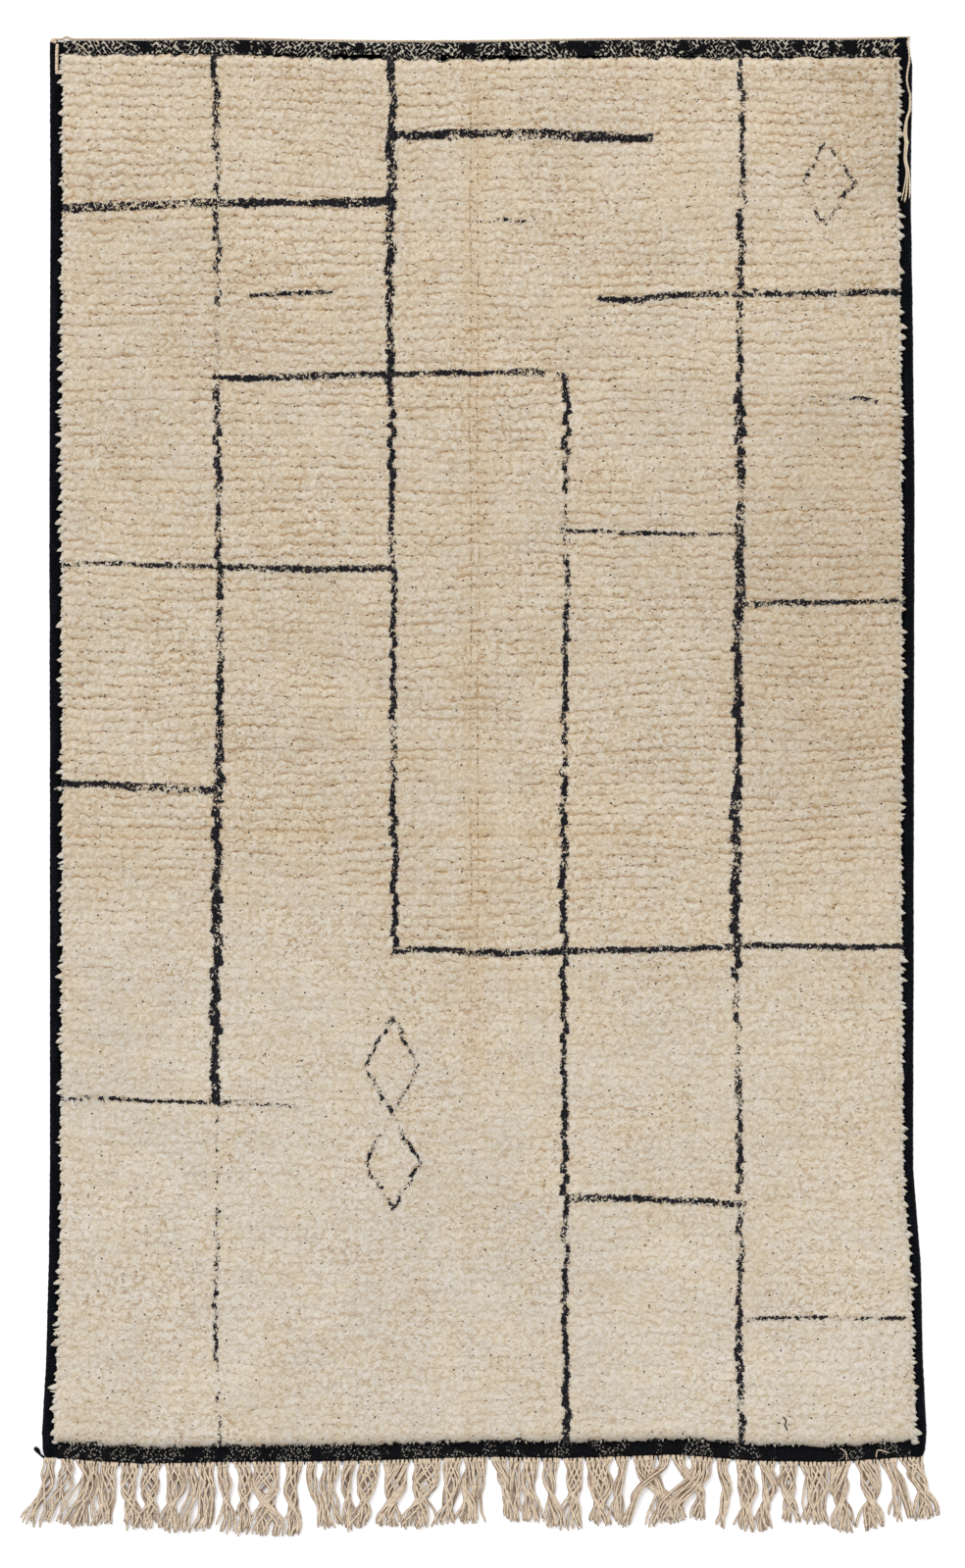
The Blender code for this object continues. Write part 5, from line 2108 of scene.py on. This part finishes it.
@dataclass(frozen=True)
class Studio:
    """A white floor, even soft light and a camera that looks straight down."""

    outline: Outline
    frame_height: float = 2.777
    centre: tuple[float, float] = (0.0026, -0.0625)
    camera_height: float = 8.0
    sensor: float = 36.0
    floor_size: float = 40.0
    glow: float = 0.28
    sky: float = 0.74
    key_energy: float = 1.63
    key_angle: float = 35.0
    key_tilt: tuple[float, float] = (-38.0, -22.0)

    def build(self) -> None:
        """Make the floor, the lights, the world and the camera."""
        self.floor()
        self.lights()
        self.camera()
        bpy.context.scene.view_settings.view_transform = "Standard"

    def floor(self) -> None:
        """A matt white floor, faintly lit from below so that shadows on it stay light."""
        s = Shader("matt_white_floor")
        white = s.mix("#FDFDFD", "#FFFFFF", s.grain(0.8))
        surface = {"Roughness": 0.9, "Specular IOR Level": 0.1, "Emission Strength": self.glow}
        material = s.finish(white, s.grain(0.01), 0.0001, 0.1, surface)
        half = self.floor_size / 2
        corners = np.array([[-half, -half], [half, -half], [half, half], [-half, half]])
        mesh = bpy.data.meshes.new("studio_floor")
        points = np.column_stack([corners, np.full(4, -0.0004)])
        mesh.from_pydata(points.tolist(), [], [(0, 1, 2, 3)])
        mesh.materials.append(material)
        floor = linked("studio_floor", mesh)

    def lights(self) -> None:
        """A bright even sky, and one broad soft light from beyond the top left corner."""
        world = bpy.context.scene.world = bpy.data.worlds.new("studio")
        world.use_nodes = True
        background = world.node_tree.nodes["Background"]
        background.inputs["Color"].default_value = (1.0, 1.0, 1.0, 1.0)
        background.inputs["Strength"].default_value = self.sky
        key = bpy.data.lights.new("soft_key", "SUN")
        key.energy = self.key_energy
        key.angle = math.radians(self.key_angle)
        lamp = linked("soft_key", key)
        lamp.rotation_euler = (*map(math.radians, self.key_tilt), 0)

    def camera(self) -> None:
        """The camera over the rug, with the photograph's frame."""
        data = bpy.data.cameras.new("overhead")
        data.sensor_width = self.sensor
        data.lens = self.sensor * self.camera_height / self.frame_height
        data.clip_end = 200.0
        camera = linked("overhead", data)
        x, y = np.array(self.centre) + self.outline.shift
        camera.location = (x, y, self.camera_height)
        bpy.context.scene.camera = camera


def main() -> None:
    """Load the frame, build each piece round it and set up the studio."""
    logging.basicConfig(level=logging.INFO, format="%(message)s")
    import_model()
    outline = Outline.of_frame()
    LOG.info("plan moved by %s", outline.shift)

    wool = KnottedWool().material()
    cotton = TwistedYarn("cotton_warp", "#DAC8B0", "#69390B").material()
    cord = TwistedYarn("cream_edging_cord", "#D3C2A9", "#997C5A", twist=0.5, flank=0.5).material()
    black = OvercastWool().material()
    bands = {
        End.TOP: TwinedBand("twined_top_band", "#C2BAAA", True, 0.38).material(),
        End.BOTTOM: TwinedBand("twined_bottom_band", "#9E988D", False, 0.42, 0.1).material(),
    }

    pile = Pile(outline, LinePattern(), WoolTones(), wool)
    pieces = pile.build()
    pieces.append(RimLocks(pile).build())
    pieces += [SideCord(outline, side, black).build() for side in Side]
    pieces += [EndBand(outline, end, bands[end]).build() for end in End]
    cords = Cords(outline, cord)
    pieces.append(cords.top_edge())
    pieces.append(cords.corner_knot())
    cords.corner_tail()
    cords.loose_cord()
    pieces.append(CornerTuft(outline, black).build())
    strays = StrayYarns(outline)
    pieces.append(strays.build("band_yarn_ends", Slot.WARP, BAND_ENDS, 0.0056, cord))
    pieces.append(strays.build("pile_yarn_end", Slot.SELVEDGE, PILE_ENDS, 0.0212, black))
    fringe = Fringe(outline, cotton, black)
    pieces += [fringe.build(), fringe.knobs(), fringe.stitches()]
    ground = Ground(outline, WovenGround().material()).build()

    Studio(outline).build()
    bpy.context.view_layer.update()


if __name__ == "__main__":
    main()
